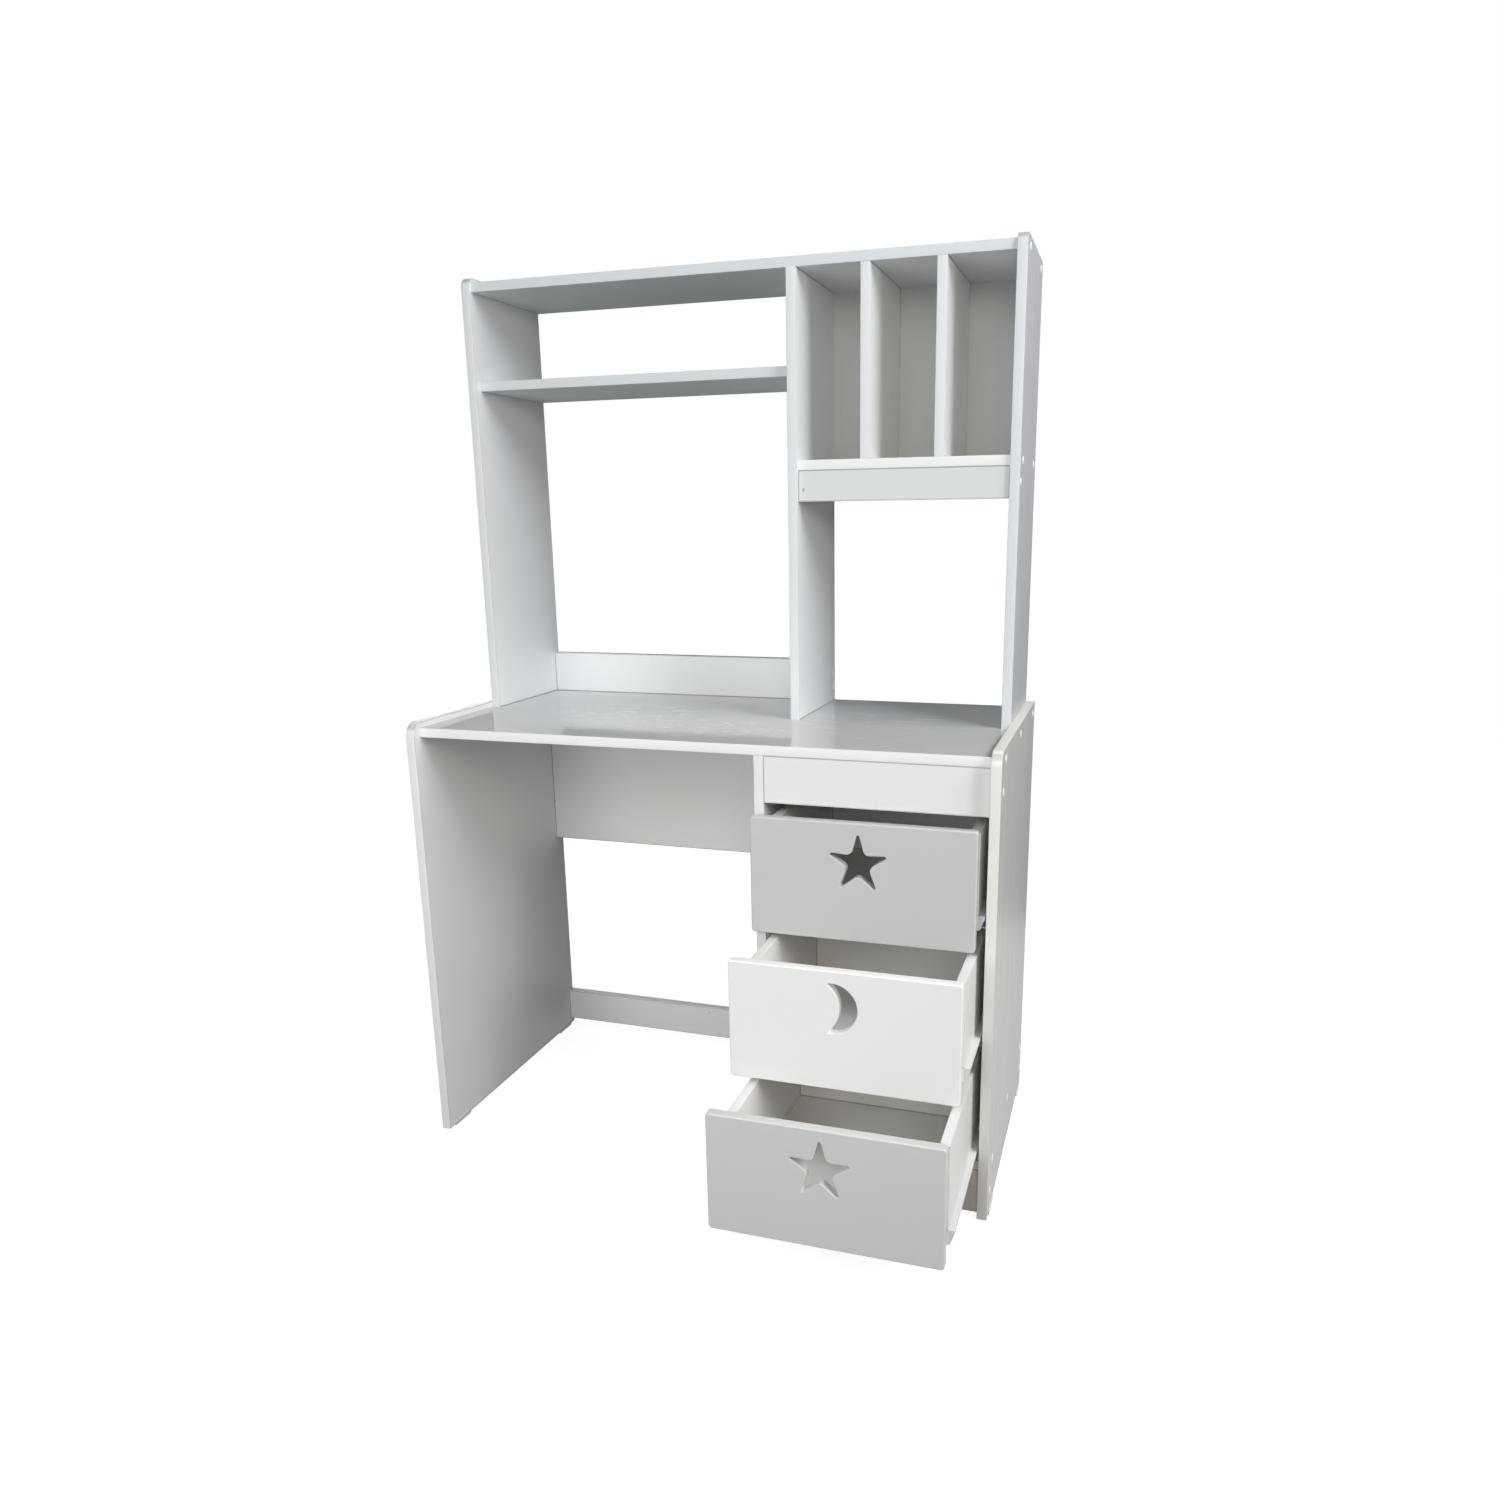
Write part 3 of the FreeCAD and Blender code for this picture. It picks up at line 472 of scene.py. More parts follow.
def lacquerFinish(name, look, coat=spray):
    # Sprayed lacquer on fibreboard: orange peel, a slow drift of tone, a painted highlight that makes the
    # rims lighter, with bare fibre in a chip and rubbed spots along a lower rim.
    finish = Finish(name + "_lacquer", {"Specular IOR Level": coat["gloss"], "IOR": 1.5})
    place = stretched(finish.place, (1.0, 1.0, 1.0), seedShift(look["seed"]))
    drift = noise(place, coat["drift"], 3.0)
    axes = [abs(part(finish.normal, axis)) for axis in range(3)]
    rim = 1.0 - between(axes[0] | axes[1] | axes[2], 0.75, 0.97)
    peel = noise(place, coat["peel"])
    chip = finish.start.node("ShaderNodeAttribute", {"attribute_name": "bare"}, out="Fac")
    spots = between(noise(stretched(place, (1.0, 3.0, 3.0)), coat["spots"], 3.0, 0.6), 0.66, 0.70)
    lowRim = between(0.0 - part(finish.normal, 2), 0.25, 0.45) * rim
    worn = between(chip, 0.5, 0.62) | (spots * lowRim * look["rubbed"])
    # painted highlight: the rims are made lighter
    paint = shaded(look["colour"], 0.975 + 0.05 * drift + 0.05 * rim)
    return finish.plug({
        "Base Color": mixed(worn, paint, rgba(coat["fibre"])),
        "Roughness": coat["roughness"] + coat["driftDull"] * drift + coat["wornDull"] * worn,
        "Normal": bumped(peel, 0.3, coat["peelDepth"]),
    })


# ---- surfaces from arrays ----
def gridFaces(rows, across, closed):
    # quads between neighbours of a rows x across grid; across always closes on itself, and rows
    # either close too or end in a fan of triangles at each end
    i = np.arange(rows if closed else rows - 1)[:, None]
    j = np.arange(across)[None, :]
    below, beside = (i + 1) % rows, (j + 1) % across
    corners = (i * across + j, below * across + j, below * across + beside, i * across + beside)
    quads = np.stack(np.broadcast_arrays(*corners), axis=-1).reshape(-1, 4)
    if closed:
        return quads, np.zeros((0, 3), int)
    step = np.arange(1, across - 1)
    fan = np.stack([np.zeros_like(step), step, step + 1], axis=-1)
    return quads, np.concatenate([fan, fan + (rows - 1) * across])


def surfacePiece(name, grids, closed, material, creaseDegrees=35.0):
    # one mesh from a stack of grids, shape (copies, rows, across, 3), with its faces turned outwards
    copies, rows, across = grids.shape[:3]
    quads, fans = gridFaces(rows, across, closed)
    offsets = (np.arange(copies) * rows * across)[:, None, None]
    faces = (quads[None] + offsets).reshape(-1, 4).tolist()
    faces += (fans[None] + offsets).reshape(-1, 3).tolist()
    mesh = bpy.data.meshes.new(name)
    mesh.from_pydata(grids.reshape(-1, 3).tolist(), [], faces)
    work = bmesh.new()
    work.from_mesh(mesh)
    bmesh.ops.recalc_face_normals(work, faces=work.faces)
    work.to_mesh(mesh)
    work.free()
    mesh.shade_smooth()
    mesh.set_sharp_from_angle(angle=math.radians(creaseDegrees))
    mesh.materials.append(material)
    piece = bpy.data.objects.new(name, mesh)
    bpy.context.scene.collection.objects.link(piece)
    return piece


def quarter(radius, steps, turned=False):
    # a quarter circle as (run, rise), from (0, radius) to (radius, 0), or the other way when turned
    angle = np.linspace(0.0, math.pi / 2, steps + 1)
    run, rise = radius * (1 - np.cos(angle)), radius * (1 - np.sin(angle))
    return (run[::-1], rise[::-1]) if turned else (run, rise)


# ---- drawer fronts ----
front = {
    "rim": 0.0024,              # the sprayed rim's radius at the face
    "backRim": 0.0014,
    "pullRim": 0.0013,          # round the cut-out
    "corner": 0.005,
    "hold": 0.0006,             # flat beside each rim, which keeps its shading off the face
    "starPoint": 0.052,
    "starValley": 0.0175,
    "starPointRound": 0.0022,
    "starValleyRound": 0.010,
    "starPlace": (-0.004, 0.0645),   # from the front's middle, and under its top edge
    "moonRadius": 0.0395,
    "biteRadius": 0.0485,
    "biteShift": 0.0363,
    "hornRound": 0.0015,
    "moonPlace": (-0.016, 0.059),
    # a chip's place in from the lower left corner and behind the face, and its reach
    "chip": {"drawer_3_front": ((0.0012, 0.0008, 0.0014), 0.0034)},
    "chipSink": (0.00049, 0.00035, 0.00042),
    "chipRipple": (3100.0, 2300.0, 2700.0),
}


def roundedPolygon(corners, radii, steps):
    # Every corner becomes an arc of its radius that touches both its sides. With unit vectors a and b
    # from the corner to its neighbours, the arc's centre is on a + b, radius / sin(half angle) away.
    a = np.roll(corners, 1, axis=0) - corners
    b = np.roll(corners, -1, axis=0) - corners
    a /= np.linalg.norm(a, axis=1, keepdims=True)
    b /= np.linalg.norm(b, axis=1, keepdims=True)
    bisector = a + b
    bisector /= np.linalg.norm(bisector, axis=1, keepdims=True)
    sine = np.sqrt((1 - (a * b).sum(1)) / 2)
    centres = corners + bisector * (radii / sine)[:, None]
    bend = a[:, 0] * b[:, 1] - a[:, 1] * b[:, 0]          # negative where the corner points outwards
    outward = np.where(bend < 0, 1.0, -1.0)
    half = math.pi / 2 - np.arcsin(sine)
    middle = np.arctan2(-bisector[:, 1], -bisector[:, 0])
    sweep = np.linspace(-1.0, 1.0, steps + 1)[None, :] * (half * outward)[:, None]
    angle = middle[:, None] + sweep
    spoke = np.stack([np.cos(angle), np.sin(angle)], axis=-1)
    points = centres[:, None] + spoke * radii[:, None, None]
    normals = spoke * outward[:, None, None]
    return points.reshape(-1, 2), normals.reshape(-1, 2)


def starLoop(look):
    # ten corners on two circles, taken round anticlockwise, each rounded; fan is the polar angle
    turn = math.pi / 2 + np.arange(10) * math.pi / 5
    reach = np.where(np.arange(10) % 2 == 0, look["starPoint"], look["starValley"])
    radii = np.where(np.arange(10) % 2 == 0, look["starPointRound"], look["starValleyRound"])
    corners = np.stack([reach * np.cos(turn), reach * np.sin(turn)], axis=-1)
    points, normals = roundedPolygon(corners, radii, 8)
    return points, normals, np.degrees(np.arctan2(points[:, 1], points[:, 0]))


def moonLoop(look):
    # A disc less a larger disc set to its left, as four arcs: disc, upper horn, bite, lower horn.
    # A horn's centre is hornRound inside the disc and outside the bite: where circles of radius
    # disc - horn and bite + horn cross.
    disc, bite, shift, horn = look["moonRadius"], look["biteRadius"], look["biteShift"], look["hornRound"]
    inner, outer = disc - horn, bite + horn
    hornX = (outer ** 2 - inner ** 2 - shift ** 2) / (2 * shift)
    hornZ = math.sqrt(inner ** 2 - hornX ** 2)
    tip = math.degrees(math.atan2(hornZ, hornX))
    notch = math.degrees(math.atan2(hornZ, hornX + shift))
    arcs = [
        ((0.0, 0.0), disc, (-tip, tip), (-tip, tip), 1.0, 56),
        ((hornX, hornZ), horn, (tip, 180 + notch), (tip, 150), 1.0, 10),
        ((-shift, 0.0), bite, (notch, -notch), (150, 210), -1.0, 36),
        ((hornX, -hornZ), horn, (180 - notch, 360 - tip), (210, 360 - tip), 1.0, 10),
    ]
    points, normals, fans = [], [], []
    for centre, radius, turn, fan, side, steps in arcs:
        angle = np.radians(np.linspace(*turn, steps + 1))[:-1]
        spoke = np.stack([np.cos(angle), np.sin(angle)], axis=-1)
        points.append(np.array(centre) + radius * spoke)
        normals.append(side * spoke)
        fans.append(np.linspace(*fan, steps + 1)[:-1])
    return np.concatenate(points), np.concatenate(normals), np.concatenate(fans)


def frontPiece(name, body, look, material):
    # The board is one closed ring: its section runs round the cut-out's wall, over the face to the
    # outer edge and back behind. Each spoke joins a point P of the cut-out to a point Q of the
    # outline at the same fan angle, and the section's rows are P + in * normal or Q - in * normal.
    low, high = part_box(name)
    isStar = name != "drawer_2_front"
    shift, drop = look["starPlace"] if isStar else look["moonPlace"]
    centre = np.array([(low[0] + high[0]) / 2 + shift, high[2] - drop])
    pull, pullNormals, pullFan = starLoop(look) if isStar else moonLoop(look)
    west, east = low[0] - centre[0], high[0] - centre[0]
    south, north = low[2] - centre[1], high[2] - centre[1]
    corners = np.array([[west, south], [east, south], [east, north], [west, north]])
    outline, outNormals = roundedPolygon(corners, np.full(4, look["corner"]), 12)
    outFan = np.degrees(np.arctan2(outline[:, 1], outline[:, 0]))
    fans = np.unique(np.round(np.concatenate([pullFan, outFan]) % 360, 2))

    def spread(values, at):
        columns = [np.interp(fans, at, values[:, k], period=360) for k in range(2)]
        return np.stack(columns, axis=-1)

    inner, innerOut = spread(pull, pullFan), spread(pullNormals, pullFan)
    outer, outerOut = spread(outline, outFan), spread(outNormals, outFan)
    rows = []                   # (0 at the cut-out or 1 at the outline, in from it, depth)

    def edge(where, radius, depth, into, turned, steps):
        run, rise = quarter(radius, steps, turned)
        rows.extend((where, r, depth + into * d) for r, d in zip(run, rise))

    front, back, hold = low[1], high[1], look["hold"]
    edge(0, look["pullRim"], front, 1, False, 5)
    rows.append((0, look["pullRim"] + hold, front))
    rows.append((1, look["rim"] + hold, front))
    edge(1, look["rim"], front, 1, True, 8)
    edge(1, look["backRim"], back, -1, False, 5)
    rows.append((1, look["backRim"] + hold, back))
    rows.append((0, look["pullRim"] + hold, back))
    edge(0, look["pullRim"], back, -1, True, 5)
    where, inset, depth = (np.array(column)[None, :, None] for column in zip(*rows))
    fromPull = inner[:, None] + inset * innerOut[:, None]
    fromOutline = outer[:, None] - inset * outerOut[:, None]
    flat = np.where(where == 0, fromPull, fromOutline) + centre
    depth = np.broadcast_to(depth, flat[..., :1].shape)
    grid = np.concatenate([flat[..., :1], depth, flat[..., 1:]], axis=-1)
    bare = np.zeros(grid.shape[:2])
    if name in look["chip"]:
        # the chip sinks by a cosine bump round the corner point, broken up by a ripple
        inwards, reach = look["chip"][name]
        away = np.linalg.norm(grid - np.add(low, inwards), axis=-1)
        ripple = np.sin(grid @ np.array(look["chipRipple"])) * 0.3 + 0.8
        bare = np.clip(1.25 - away / reach, 0, 1) * ripple
        sink = (np.cos(np.clip(away / reach, 0, 1) * math.pi) + 1) * ripple
        grid = grid + sink[..., None] * np.array(look["chipSink"])
    piece = surfacePiece(name + "_board", grid[None], True, material, 50)
    mark = piece.data.attributes.new("bare", "FLOAT", "POINT")
    mark.data.foreach_set("value", bare.reshape(-1).astype(np.float32))
    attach(piece, body)
    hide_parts(name)


for name, look in lacquer.items():
    frontPiece(name, bodyOf[name], front, lacquerFinish(name, look))
print("fronts:", len(lacquer))


# ---- edge bands ----
band = {
    "proud": 0.0001,            # beyond the board's edge
    "wrap": 0.00005,            # beyond its faces
    "depth": 0.0009,            # into the board, where it is hidden
    "round": 0.0008,
    "deskCorner": 0.023,
    "hutchFront": 0.016,
    "hutchBack": 0.011,
    "arcPoints": 13,
    "gloss": 0.30,              # specular level
    "roughness": 0.38,
    "driftDull": 0.10,
    "drift": 3.5,               # waves per metre of its tone
    "drawn": 600.0,             # and of the marks of its drawing
    "drawnDepth": 0.00004,
    # painted shade along the strip's rounded borders
    "borderShade": 0.30,
}
faceDirections = {"front": (1, -1), "top": (2, 1), "bottom": (2, -1)}
boxBoards = ["drawer_%d_%s" % (n, side) for n in (1, 2, 3) for side in ("left_side", "right_side", "back")]
# which edges of which boards carry a strip
banded = {
    "front": [
        "desktop", "hutch_top", "hutch_left_shelf", "cubby_shelf", "hutch_middle_panel",
        "cubby_left_divider", "cubby_right_divider", "pedestal_inner_panel", "pedestal_bottom_panel",
    ],
    "top": ["hutch_lower_rail", "lower_back_rail"] + boxBoards,
    "bottom": ["pedestal_top_rail", "modesty_panel", "cubby_apron"],
}


def bandPiece(name, board, path, outwards, across, width, material, look=band):
    # The strip's section (across, out) is a rectangle with its two outer corners rounded. It is
    # carried along the path: point = path + across * a + outwards * o.
    run, rise = quarter(look["round"], 4)
    half = width / 2 + look["wrap"]
    a = np.concatenate([[-half], run - half, half - run[::-1], [half]])
    o = look["proud"] - rise
    o = np.concatenate([[-look["depth"]], o, o[::-1], [-look["depth"]]])
    grid = path[:, None] + a[None, :, None] * across + o[None, :, None] * outwards[:, None]
    piece = surfacePiece(name, grid[None], False, material)
    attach(piece, bodyOf[board])


def straightBand(board, side, material):
    # along the middle of one edge, from end to end
    low, high = (np.array(corner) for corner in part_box(board))
    faceAxis, sign = faceDirections[side]
    thin = thinAxis(board)
    runAxis = 3 - thin - faceAxis
    start = (low + high) / 2
    start[faceAxis] = high[faceAxis] if sign > 0 else low[faceAxis]
    end = start.copy()
    start[runAxis], end[runAxis] = low[runAxis], high[runAxis]
    outwards = np.zeros((2, 3))
    outwards[:, faceAxis] = sign
    name, path = "%s_%s_band" % (board, side), np.array([start, end])
    bandPiece(name, board, path, outwards, np.eye(3)[thin], high[thin] - low[thin], material)


def wrapBand(board, frontRadius, backRadius, material):
    # up the front edge, round the corner and along the top, and round the rear corner if there is one
    low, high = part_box(board)

    def arc(y, z, radius, first, last):
        turn = np.linspace(first, last, band["arcPoints"])
        spokes = np.stack([np.cos(turn), np.sin(turn)], axis=-1)
        points.append(np.array([y, z]) + radius * spokes)
        normals.append(spokes)

    points, normals = [np.array([[low[1], low[2]]])], [np.array([[-1.0, 0.0]])]
    arc(low[1] + frontRadius, high[2] - frontRadius, frontRadius, math.pi, math.pi / 2)
    if backRadius:
        arc(high[1] - backRadius, high[2] - backRadius, backRadius, math.pi / 2, 0.0)
    else:
        points.append(np.array([[high[1], high[2]]]))
        normals.append(np.array([[0.0, 1.0]]))
    points, normals = np.concatenate(points), np.concatenate(normals)
    path = np.insert(points, 0, (low[0] + high[0]) / 2, axis=1)
    outwards = np.insert(normals, 0, 0.0, axis=1)
    bandPiece(board + "_band", board, path, outwards, np.eye(3)[0], high[0] - low[0], material)


bandColours = {
    "white": (0.862, 0.866, 0.860),
    # partly the strips' own violet-grey, partly painted shade: the hutch's strips are darker than the
    # white ones, for the dimmer light up the hutch
    "hutch": (0.755, 0.770, 0.790),
    "shaded_lilac": (0.685, 0.706, 0.730),
    "cream": (0.855, 0.842, 0.795),
    "desktop": (0.915, 0.925, 0.915),
}


def bandFinish(name, colour, look=band):
    # extruded strip: smoother than the sheets, with a slow drift of tone, and painted shade darkening
    # its rounded borders, where the normal leaves the axes
    finish = Finish(name, {"Specular IOR Level": look["gloss"], "IOR": 1.5})
    drift = noise(finish.place, look["drift"])
    drawn = noise(finish.place, look["drawn"], 1.0)
    across = [abs(part(finish.normal, axis)) for axis in range(3)]
    border = 1.0 - between(across[0] | across[1] | across[2], 0.78, 0.95)
    return finish.plug({
        "Base Color": shaded(colour, (0.98 + 0.04 * drift) * (1.0 - look["borderShade"] * border)),
        "Roughness": look["roughness"] + look["driftDull"] * drift,
        "Normal": bumped(drawn, 0.25, look["drawnDepth"]),
    })


bandTones = {
    "desktop": "desktop",
    "hutch_top": "shaded_lilac",
    "hutch_left_shelf": "shaded_lilac",
    "hutch_middle_panel": "hutch",
    "cubby_left_divider": "hutch",
    "cubby_right_divider": "hutch",
}
bandFinishes = {tone: bandFinish("edge_band_" + tone, colour) for tone, colour in bandColours.items()}
for side, names in banded.items():
    for name in names:
        straightBand(name, side, bandFinishes[bandTones.get(name, "white")])
wrapBand("desk_left_side", band["deskCorner"], 0.0, bandFinishes["white"])
wrapBand("desk_right_side", band["deskCorner"], 0.0, bandFinishes["cream"])
wrapBand("hutch_left_side", band["hutchFront"], band["hutchBack"], bandFinishes["hutch"])
wrapBand("hutch_right_side", band["hutchFront"], band["hutchBack"], bandFinishes["shaded_lilac"])
print("edge bands:", sum(len(names) for names in banded.values()) + 4)


# ---- thin boards ----
thinBoard = {
    "sheet": {
        "pedestal": (0.845, 0.835, 0.805),
        "drawer": (0.870, 0.862, 0.840),
        # painted shade: the cubby's back sheet is darker, standing in for the little light inside the
        # cubbies
        "cubby": (0.690, 0.682, 0.656),
    },
    "fibre": (0.46, 0.33, 0.215),
    "mesh": 520.0,              # wires per metre of the screen pressed into the rough face
    "meshDepth": 0.00012,
    "felt": 260.0,
    "feltDepth": 0.00002,       # where it shows through the white sheet
    "flecks": 45.0,
    "drift": 4.0,
    "roughness": 0.82,
    "sheetSheen": 0.36,
    "faces": {                  # axis and side of each board's white face
        "cubby_back_panel": (1, -1),
        "pedestal_back_panel": (1, -1),
        "drawer_1_bottom": (2, 1),
        "drawer_2_bottom": (2, 1),
        "drawer_3_bottom": (2, 1),
    },
}


def thinBoardFinish(name, axis, side, look=thinBoard):
    # Hardboard: a printed white sheet on one face, brown felted fibre with the screen's mesh behind.
    # mesh = sum of two sines across each other
    finish = Finish(name + "_hardboard", {"Specular IOR Level": 0.35, "IOR": 1.5})
    white = between(part(finish.normal, axis) * side, 0.4, 0.7)
    drift = noise(finish.place, look["drift"], 3.0)
    felt = noise(finish.place, look["felt"], 5.0, 0.7)
    flecks = noise(finish.place, look["flecks"], 3.0, 0.6)
    waves = [finish.place.maths("SINE", part(finish.place, k) * (look["mesh"] * 2 * math.pi), 0.0)
             for k in range(3) if k != axis]
    mesh = (waves[0] + waves[1]) * 0.25 + 0.5
    shade = 0.97 + 0.06 * drift
    if name.startswith("drawer"):
        # painted shade: the drawer bottom darkens along its joints with the sides, front and back
        shade = shade * (1.0 - laminate["boxJointShade"] * boxLine(finish.place, name[:-len("_bottom")]))
    sheet = shaded(look["sheet"][name.split("_")[0]], shade)
    brown = shaded(look["fibre"], 0.60 + 0.5 * felt + 0.35 * flecks - 0.15 * mesh)
    height = (mesh + felt) * (1.0 - white) * look["meshDepth"] + felt * white * look["feltDepth"]
    return finish.plug({
        "Base Color": mixed(white, brown, sheet),
        "Roughness": look["roughness"] - look["sheetSheen"] * white + 0.06 * drift,
        "Normal": bumped(height, 0.5, 1.0),
    })


for name, (axis, side) in thinBoard["faces"].items():
    dress(name, thinBoardFinish(name, axis, side))
print("thin boards:", len(thinBoard["faces"]))


# ---- other finishes ----
plain = {
    "drift": 20.0,              # waves per metre
    "grain": 300.0,
    "grainDepth": 0.00003,
}
glide = {
    "colour": (0.72, 0.73, 0.71),
    "highlightColour": (0.88, 0.89, 0.86),
    "clear": 0.12,
    "roughness": 0.24,
    "cloudDull": 0.14,
    "clouds": 90.0,
    "cloudDepth": 0.0001,
}


def plainFinish(name, colour, roughness, metallic, look=plain):
    # moulded or cast: a fine grain in the surface and a slow drift of tone
    finish = Finish(name, {"Metallic": metallic})
    drift = noise(finish.place, look["drift"])
    grain = noise(finish.place, look["grain"])
    return finish.plug({
        "Base Color": shaded(colour, 0.95 + 0.1 * drift),
        "Roughness": roughness - 0.05 + 0.1 * grain,
        "Normal": bumped(grain, 0.4, look["grainDepth"]),
    })


def glideFinish(look):
    # milky plastic: some light comes through it, and a painted highlight makes its upward faces paler
    finish = Finish("glide_plastic", {"IOR": 1.45, "Transmission Weight": look["clear"]})
    top = between(part(finish.normal, 2), 0.3, 0.7)
    cloud = noise(finish.place, look["clouds"])
    body = shaded(look["colour"], 0.94 + 0.12 * cloud)
    return finish.plug({
        "Base Color": mixed(top, body, rgba(look["highlightColour"])),
        "Roughness": look["roughness"] + look["cloudDull"] * cloud,
        "Normal": bumped(cloud, 0.3, look["cloudDepth"]),
    })


# colour, roughness and metallic
plainLooks = {
    "runner_steel": ((0.755, 0.785, 0.80), 0.38, 0.0),
    "roller_plastic": ((0.80, 0.80, 0.76), 0.45, 0.0),
    "screw_steel": ((0.62, 0.62, 0.60), 0.32, 1.0),
    "cam_zinc": ((0.55, 0.55, 0.54), 0.42, 1.0),
    "cap_plastic": ((0.95, 0.95, 0.94), 0.30, 0.0),
    "dowel_beech": ((0.72, 0.55, 0.36), 0.60, 0.0),
}
plainFinishes = {slot: plainFinish(slot, *look) for slot, look in plainLooks.items()}
plainFinishes["glide_plastic"] = glideFinish(glide)
for row in frame["record"]["subparts"]:
    if row["material_slot"] in plainFinishes:
        dress(row["node"], plainFinishes[row["material_slot"]])
print("small finishes:", len(plainFinishes))


# ---- screw caps ----
cap = {
    "sides": 28,
    "weld": 1e-5,               # corners closer than this are one
    # the section from its hidden foot to its crown, as shares of the radius and of the height
    "across": (0.06, 1.0, 1.0, 0.972, 0.90, 0.74, 0.50, 0.24, 0.05),
    "up": (-0.17, -0.17, 0.25, 0.52, 0.72, 0.87, 0.96, 0.995, 1.0),
}


def islands(node, look=cap):
    # Which solid each point of a node belongs to. Its loose triangles are joined where their corners
    # meet, then each corner takes the smallest number among its neighbours until none changes.
    mesh = node.data
    points = np.empty(len(mesh.vertices) * 3)
    mesh.vertices.foreach_get("co", points)
    points = points.reshape(-1, 3)
    corners = np.empty(len(mesh.loops), int)
    mesh.loops.foreach_get("vertex_index", corners)
    keys, joined = np.unique(np.round(points / look["weld"]).astype(int), axis=0, return_inverse=True)
    triangles = joined.reshape(-1)[corners].reshape(-1, 3)
    label = np.arange(len(keys))
    before = None
    while before is None or (before != label).any():
        before = label.copy()
        np.minimum.at(label, triangles.reshape(-1), np.repeat(label[triangles].min(axis=1), 3))
    return keys * look["weld"], np.unique(label, return_inverse=True)[1].reshape(-1)


def capDomes(node, material, look=cap):
    # A dome on every cap's place: rows of circles whose radius and height follow the cap's section.
    # The cap's axis is its box's shortest side, and it faces the end where its widest points lie.
    points, which = islands(node)
    count = which.max() + 1
    low, high = np.full((count, 3), np.inf), np.full((count, 3), -np.inf)
    np.minimum.at(low, which, points)
    np.maximum.at(high, which, points)
    middle, size = (low + high) / 2, high - low
    axis = size.argmin(axis=1)
    radius = size.max(axis=1) / 2
    offset = points - middle[which]
    along = np.take_along_axis(offset, axis[which][:, None], axis=1)[:, 0]
    wide = np.sqrt(np.maximum((offset ** 2).sum(1) - along ** 2, 0)) > 0.9 * radius[which]
    facing = np.sign(np.bincount(which, weights=along * wide, minlength=count))
    inner = np.full(count, np.inf)
    np.minimum.at(inner, which[wide], (along * facing[which])[wide])
    outer = size.min(axis=1) / 2
    height = (outer - inner)[:, None, None]
    eye = np.eye(3)
    up = eye[axis] * facing[:, None]
    turn = np.linspace(0, 2 * math.pi, look["sides"], endpoint=False)[None, None, :, None]
    first, second = (eye[(axis + k) % 3][:, None, None] for k in (1, 2))
    circle = np.cos(turn) * first + np.sin(turn) * second
    across = np.array(look["across"])[None, :, None, None] * radius[:, None, None, None]
    rise = inner[:, None, None] + np.array(look["up"])[None, :, None] * height
    grids = middle[:, None, None] + across * circle + rise[..., None] * up[:, None, None]
    piece = surfacePiece("cover_cap_domes", grids, False, material)
    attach(piece, bodyOf["cover_caps"])
    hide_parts("cover_caps")
    return count


print("caps:", capDomes(nodes["cover_caps"], plainFinishes["cap_plastic"]))


# ---- stage and light ----
studio = {
    "floorReach": 14.0,
    "floorColour": (0.34, 0.34, 0.34),
    "floorBounce": (0.12, 0.12, 0.12),  # what the floor sends back up
    "floorGlow": (0.87, 1.0),           # near the desk, and from the far end of "fade" on
    "fade": (0.7, 3.6),
    "ambient": (0.0, 0.0, 0.0),
    "card": (0.138, 0.148, 0.152),      # what glossy faces see behind the desk
    "cardPlace": (1.3, -4.0, 5.0, 0.02, 3.2),   # its distance, left and right ends, foot and top
    "aim": (0.5, 0.2, 0.75),            # where the lamps point
}
# place round the desk: degrees to the right of the front, height above the horizon, distance
lamps = {
    "window_light": {
        "side": 65, "rise": 35, "reach": 3.2, "size": 1.4, "power": 46.5, "colour": (0.94, 0.99, 1.05),
    },
    "side_light": {
        "side": 88, "rise": 35, "reach": 3.0, "size": 0.8, "power": 21.1, "colour": (1.13, 1.01, 0.88),
    },
    "low_window_light": {
        "side": 60, "rise": 15, "reach": 2.8, "size": 0.5, "power": 10.9, "colour": (1.02, 1.0, 0.96),
    },
    "room_light": {
        "side": 20, "rise": 18, "reach": 3.2, "size": 1.0, "power": 14.2, "colour": (1.14, 1.02, 0.84),
    },
    "front_light": {
        "side": 5, "rise": 12, "reach": 3.6, "size": 2.4, "power": 10.5, "colour": (0.85, 0.95, 1.25),
    },
    "high_left_light": {
        "side": -10, "rise": 28, "reach": 3.2, "size": 1.2, "power": 13.8, "colour": (0.84, 1.04, 1.10),
    },
    "left_light": {
        "side": -30, "rise": 20, "reach": 3.4, "size": 2.0, "power": 10.5, "colour": (1.22, 0.90, 0.90),
    },
    "left_side_light": {
        "side": -98, "rise": 7, "reach": 3.0, "size": 1.4, "power": 24.0, "colour": (1.0, 1.0, 1.0),
    },
    "rear_light": {
        "side": -136, "rise": 9.0, "reach": 3.2, "size": 0.7, "power": 18.0, "colour": (1.0, 1.0, 1.0),
    },
    "low_light": {
        "side": -20, "rise": 0, "reach": 2.2, "size": 0.9, "power": 9.8, "colour": (0.97, 1.06, 0.96),
    },
}


def stagePlane(name, corners):
    mesh = bpy.data.meshes.new(name)
    mesh.from_pydata(corners, [], [(0, 1, 2, 3)])
    plane = bpy.data.objects.new(name, mesh)
    bpy.context.scene.collection.objects.link(plane)
    material = bpy.data.materials.new(name)
    material.use_nodes = True
    material.node_tree.nodes.clear()
    mesh.materials.append(material)
    return plane, Flow(material.node_tree)


def directRays(start):
    # 1 for rays from the camera, also by way of mirrors and clear things
    sorts = ("Camera", "Glossy", "Transmission")
    rays = [start.node("ShaderNodeLightPath", out="Is %s Ray" % sort) for sort in sorts]
    return rays[0] | rays[1] | rays[2]


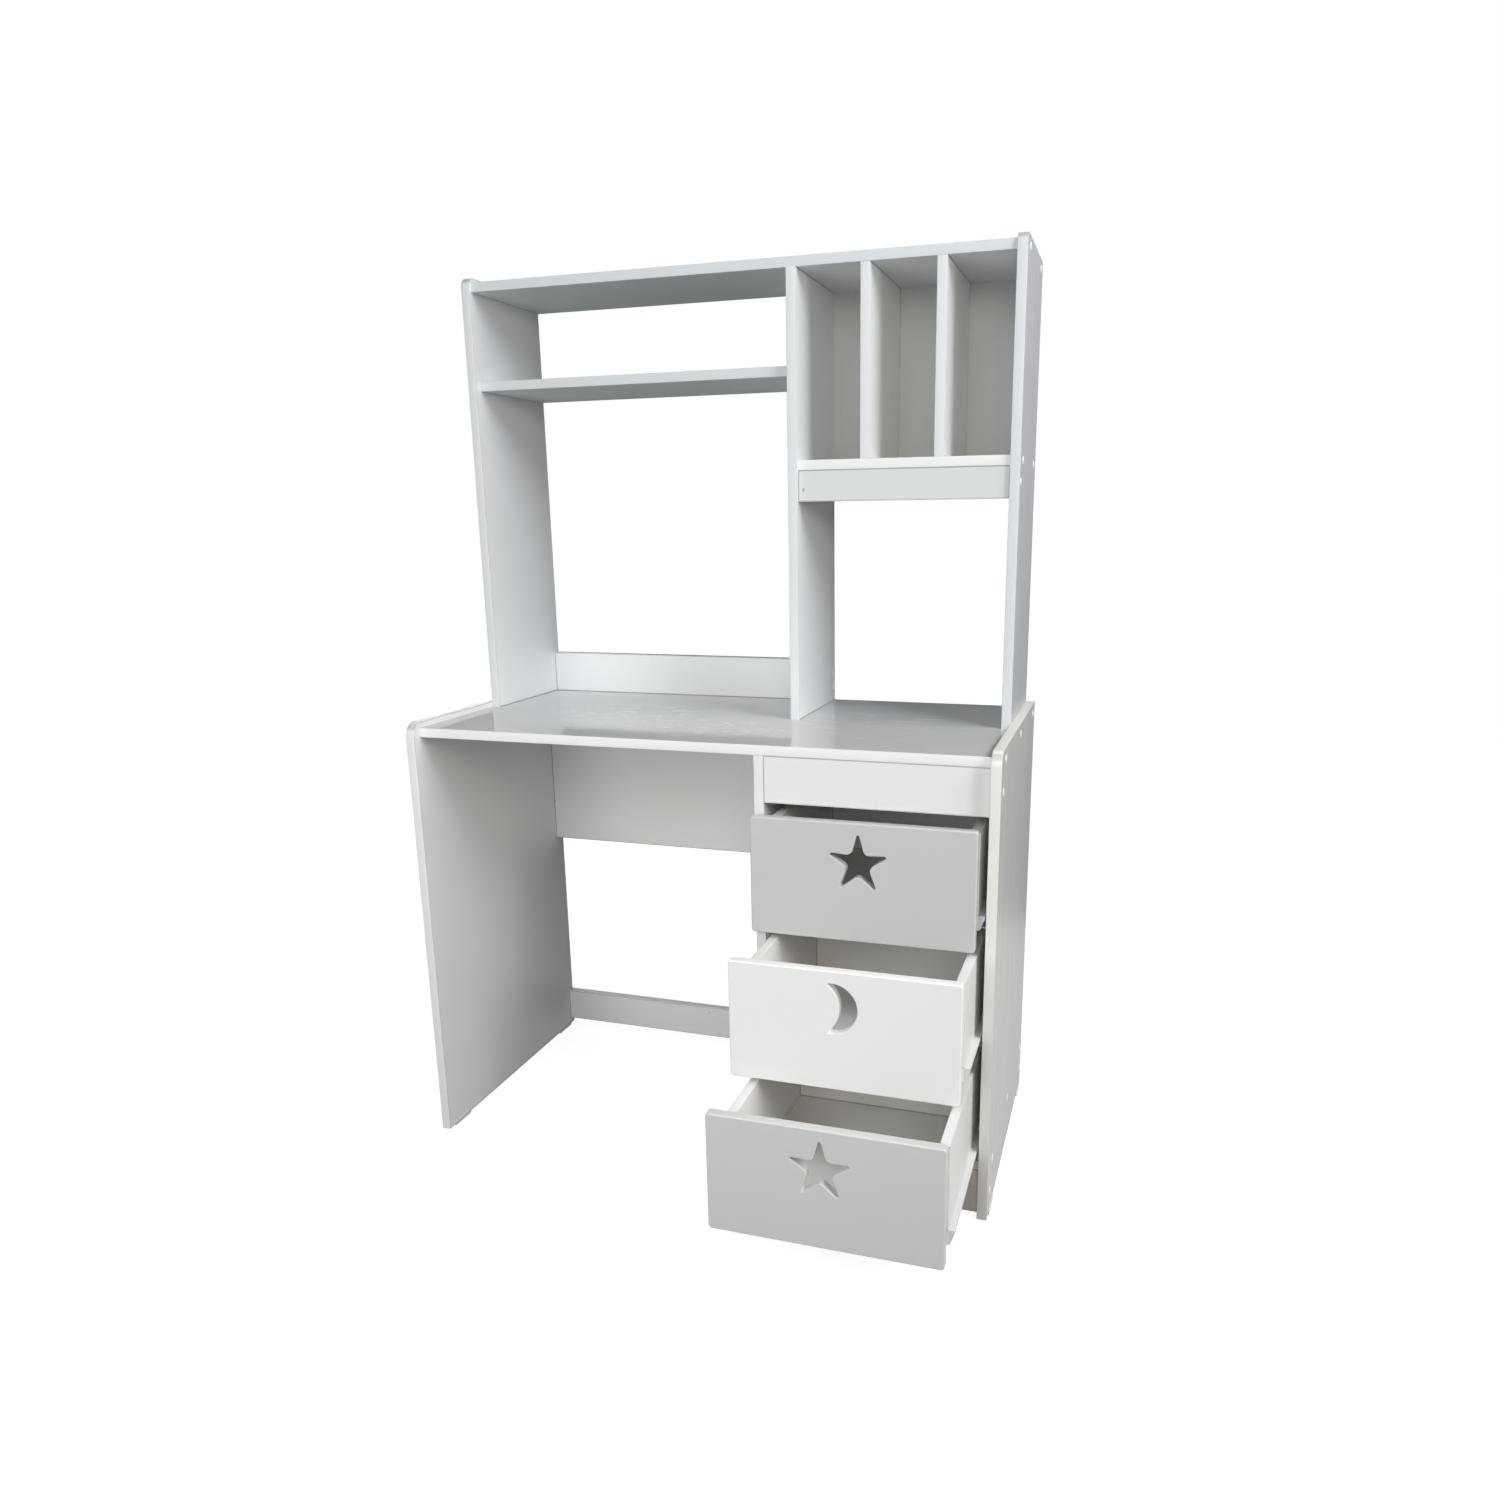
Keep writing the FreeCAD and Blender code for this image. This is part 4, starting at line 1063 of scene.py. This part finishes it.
def makeFloor(look):
    # matte all over, with a glow that only direct rays see: white, yet it keeps the desk's shadow
    r = look["floorReach"]
    floor, start = stagePlane("studio_floor", [(-r, -r, 0), (r, -r, 0), (r, r, 0), (-r, r, 0)])
    seen = directRays(start)
    place = start.node("ShaderNodeTexCoord", out="Object")
    away = place.node("ShaderNodeVectorMath", {"operation": "LENGTH"}, {0: place}, out="Value")
    far = between(away, *look["fade"])
    nearGlow, farGlow = look["floorGlow"]
    tone = mixed(seen * (1.0 - far), rgba(look["floorBounce"]), rgba(look["floorColour"]))
    matte = start.node("ShaderNodeBsdfDiffuse", None, {"Color": tone})
    strength = seen * (nearGlow + (farGlow - nearGlow) * far)
    glow = start.node("ShaderNodeEmission", None, {"Color": (1, 1, 1, 1), "Strength": strength})
    both = start.node("ShaderNodeAddShader", None, {0: matte, 1: glow})
    start.node("ShaderNodeOutputMaterial", None, {"Surface": both})


def makeCard(look):
    # a grey card behind the desk that only reflections see
    y, left, right, foot, top = look["cardPlace"]
    corners = [(left, y, foot), (right, y, foot), (right, y, top), (left, y, top)]
    card, start = stagePlane("grey_card", corners)
    for sort in ("camera", "diffuse", "transmission", "volume_scatter", "shadow"):
        setattr(card, "visible_" + sort, False)
    glow = start.node("ShaderNodeEmission", None, {"Color": rgba(look["card"]), "Strength": 1.0})
    start.node("ShaderNodeOutputMaterial", None, {"Surface": glow})


def makeWorld(look):
    # white to direct rays, dark to all others
    world = bpy.data.worlds.new("studio")
    world.use_nodes = True
    bpy.context.scene.world = world
    tree = world.node_tree
    shown = mixed(directRays(Flow(tree)), rgba(look["ambient"]), (1.0, 1.0, 1.0, 1.0))
    tree.links.new(shown.socket, tree.nodes["Background"].inputs["Color"])


def makeLamp(name, look, aim):
    side, rise = math.radians(look["side"]), math.radians(look["rise"])
    across, up = math.cos(rise), math.sin(rise)
    away = Vector((math.sin(side) * across, -math.cos(side) * across, up))
    data = bpy.data.lights.new(name, "AREA")
    data.shape = "DISK"
    data.size = look["size"]
    data.energy = look["power"]
    data.color = look["colour"]
    lamp = bpy.data.objects.new(name, data)
    lamp.visible_camera = False
    turn = away.to_track_quat("Z", "Y").to_matrix().to_4x4()
    lamp.matrix_world = Matrix.Translation(Vector(aim) + away * look["reach"]) @ turn
    bpy.context.scene.collection.objects.link(lamp)


makeFloor(studio)
makeCard(studio)
makeWorld(studio)
for name, look in lamps.items():
    makeLamp(name, look, studio["aim"])
print("stage and", len(lamps), "lamps")
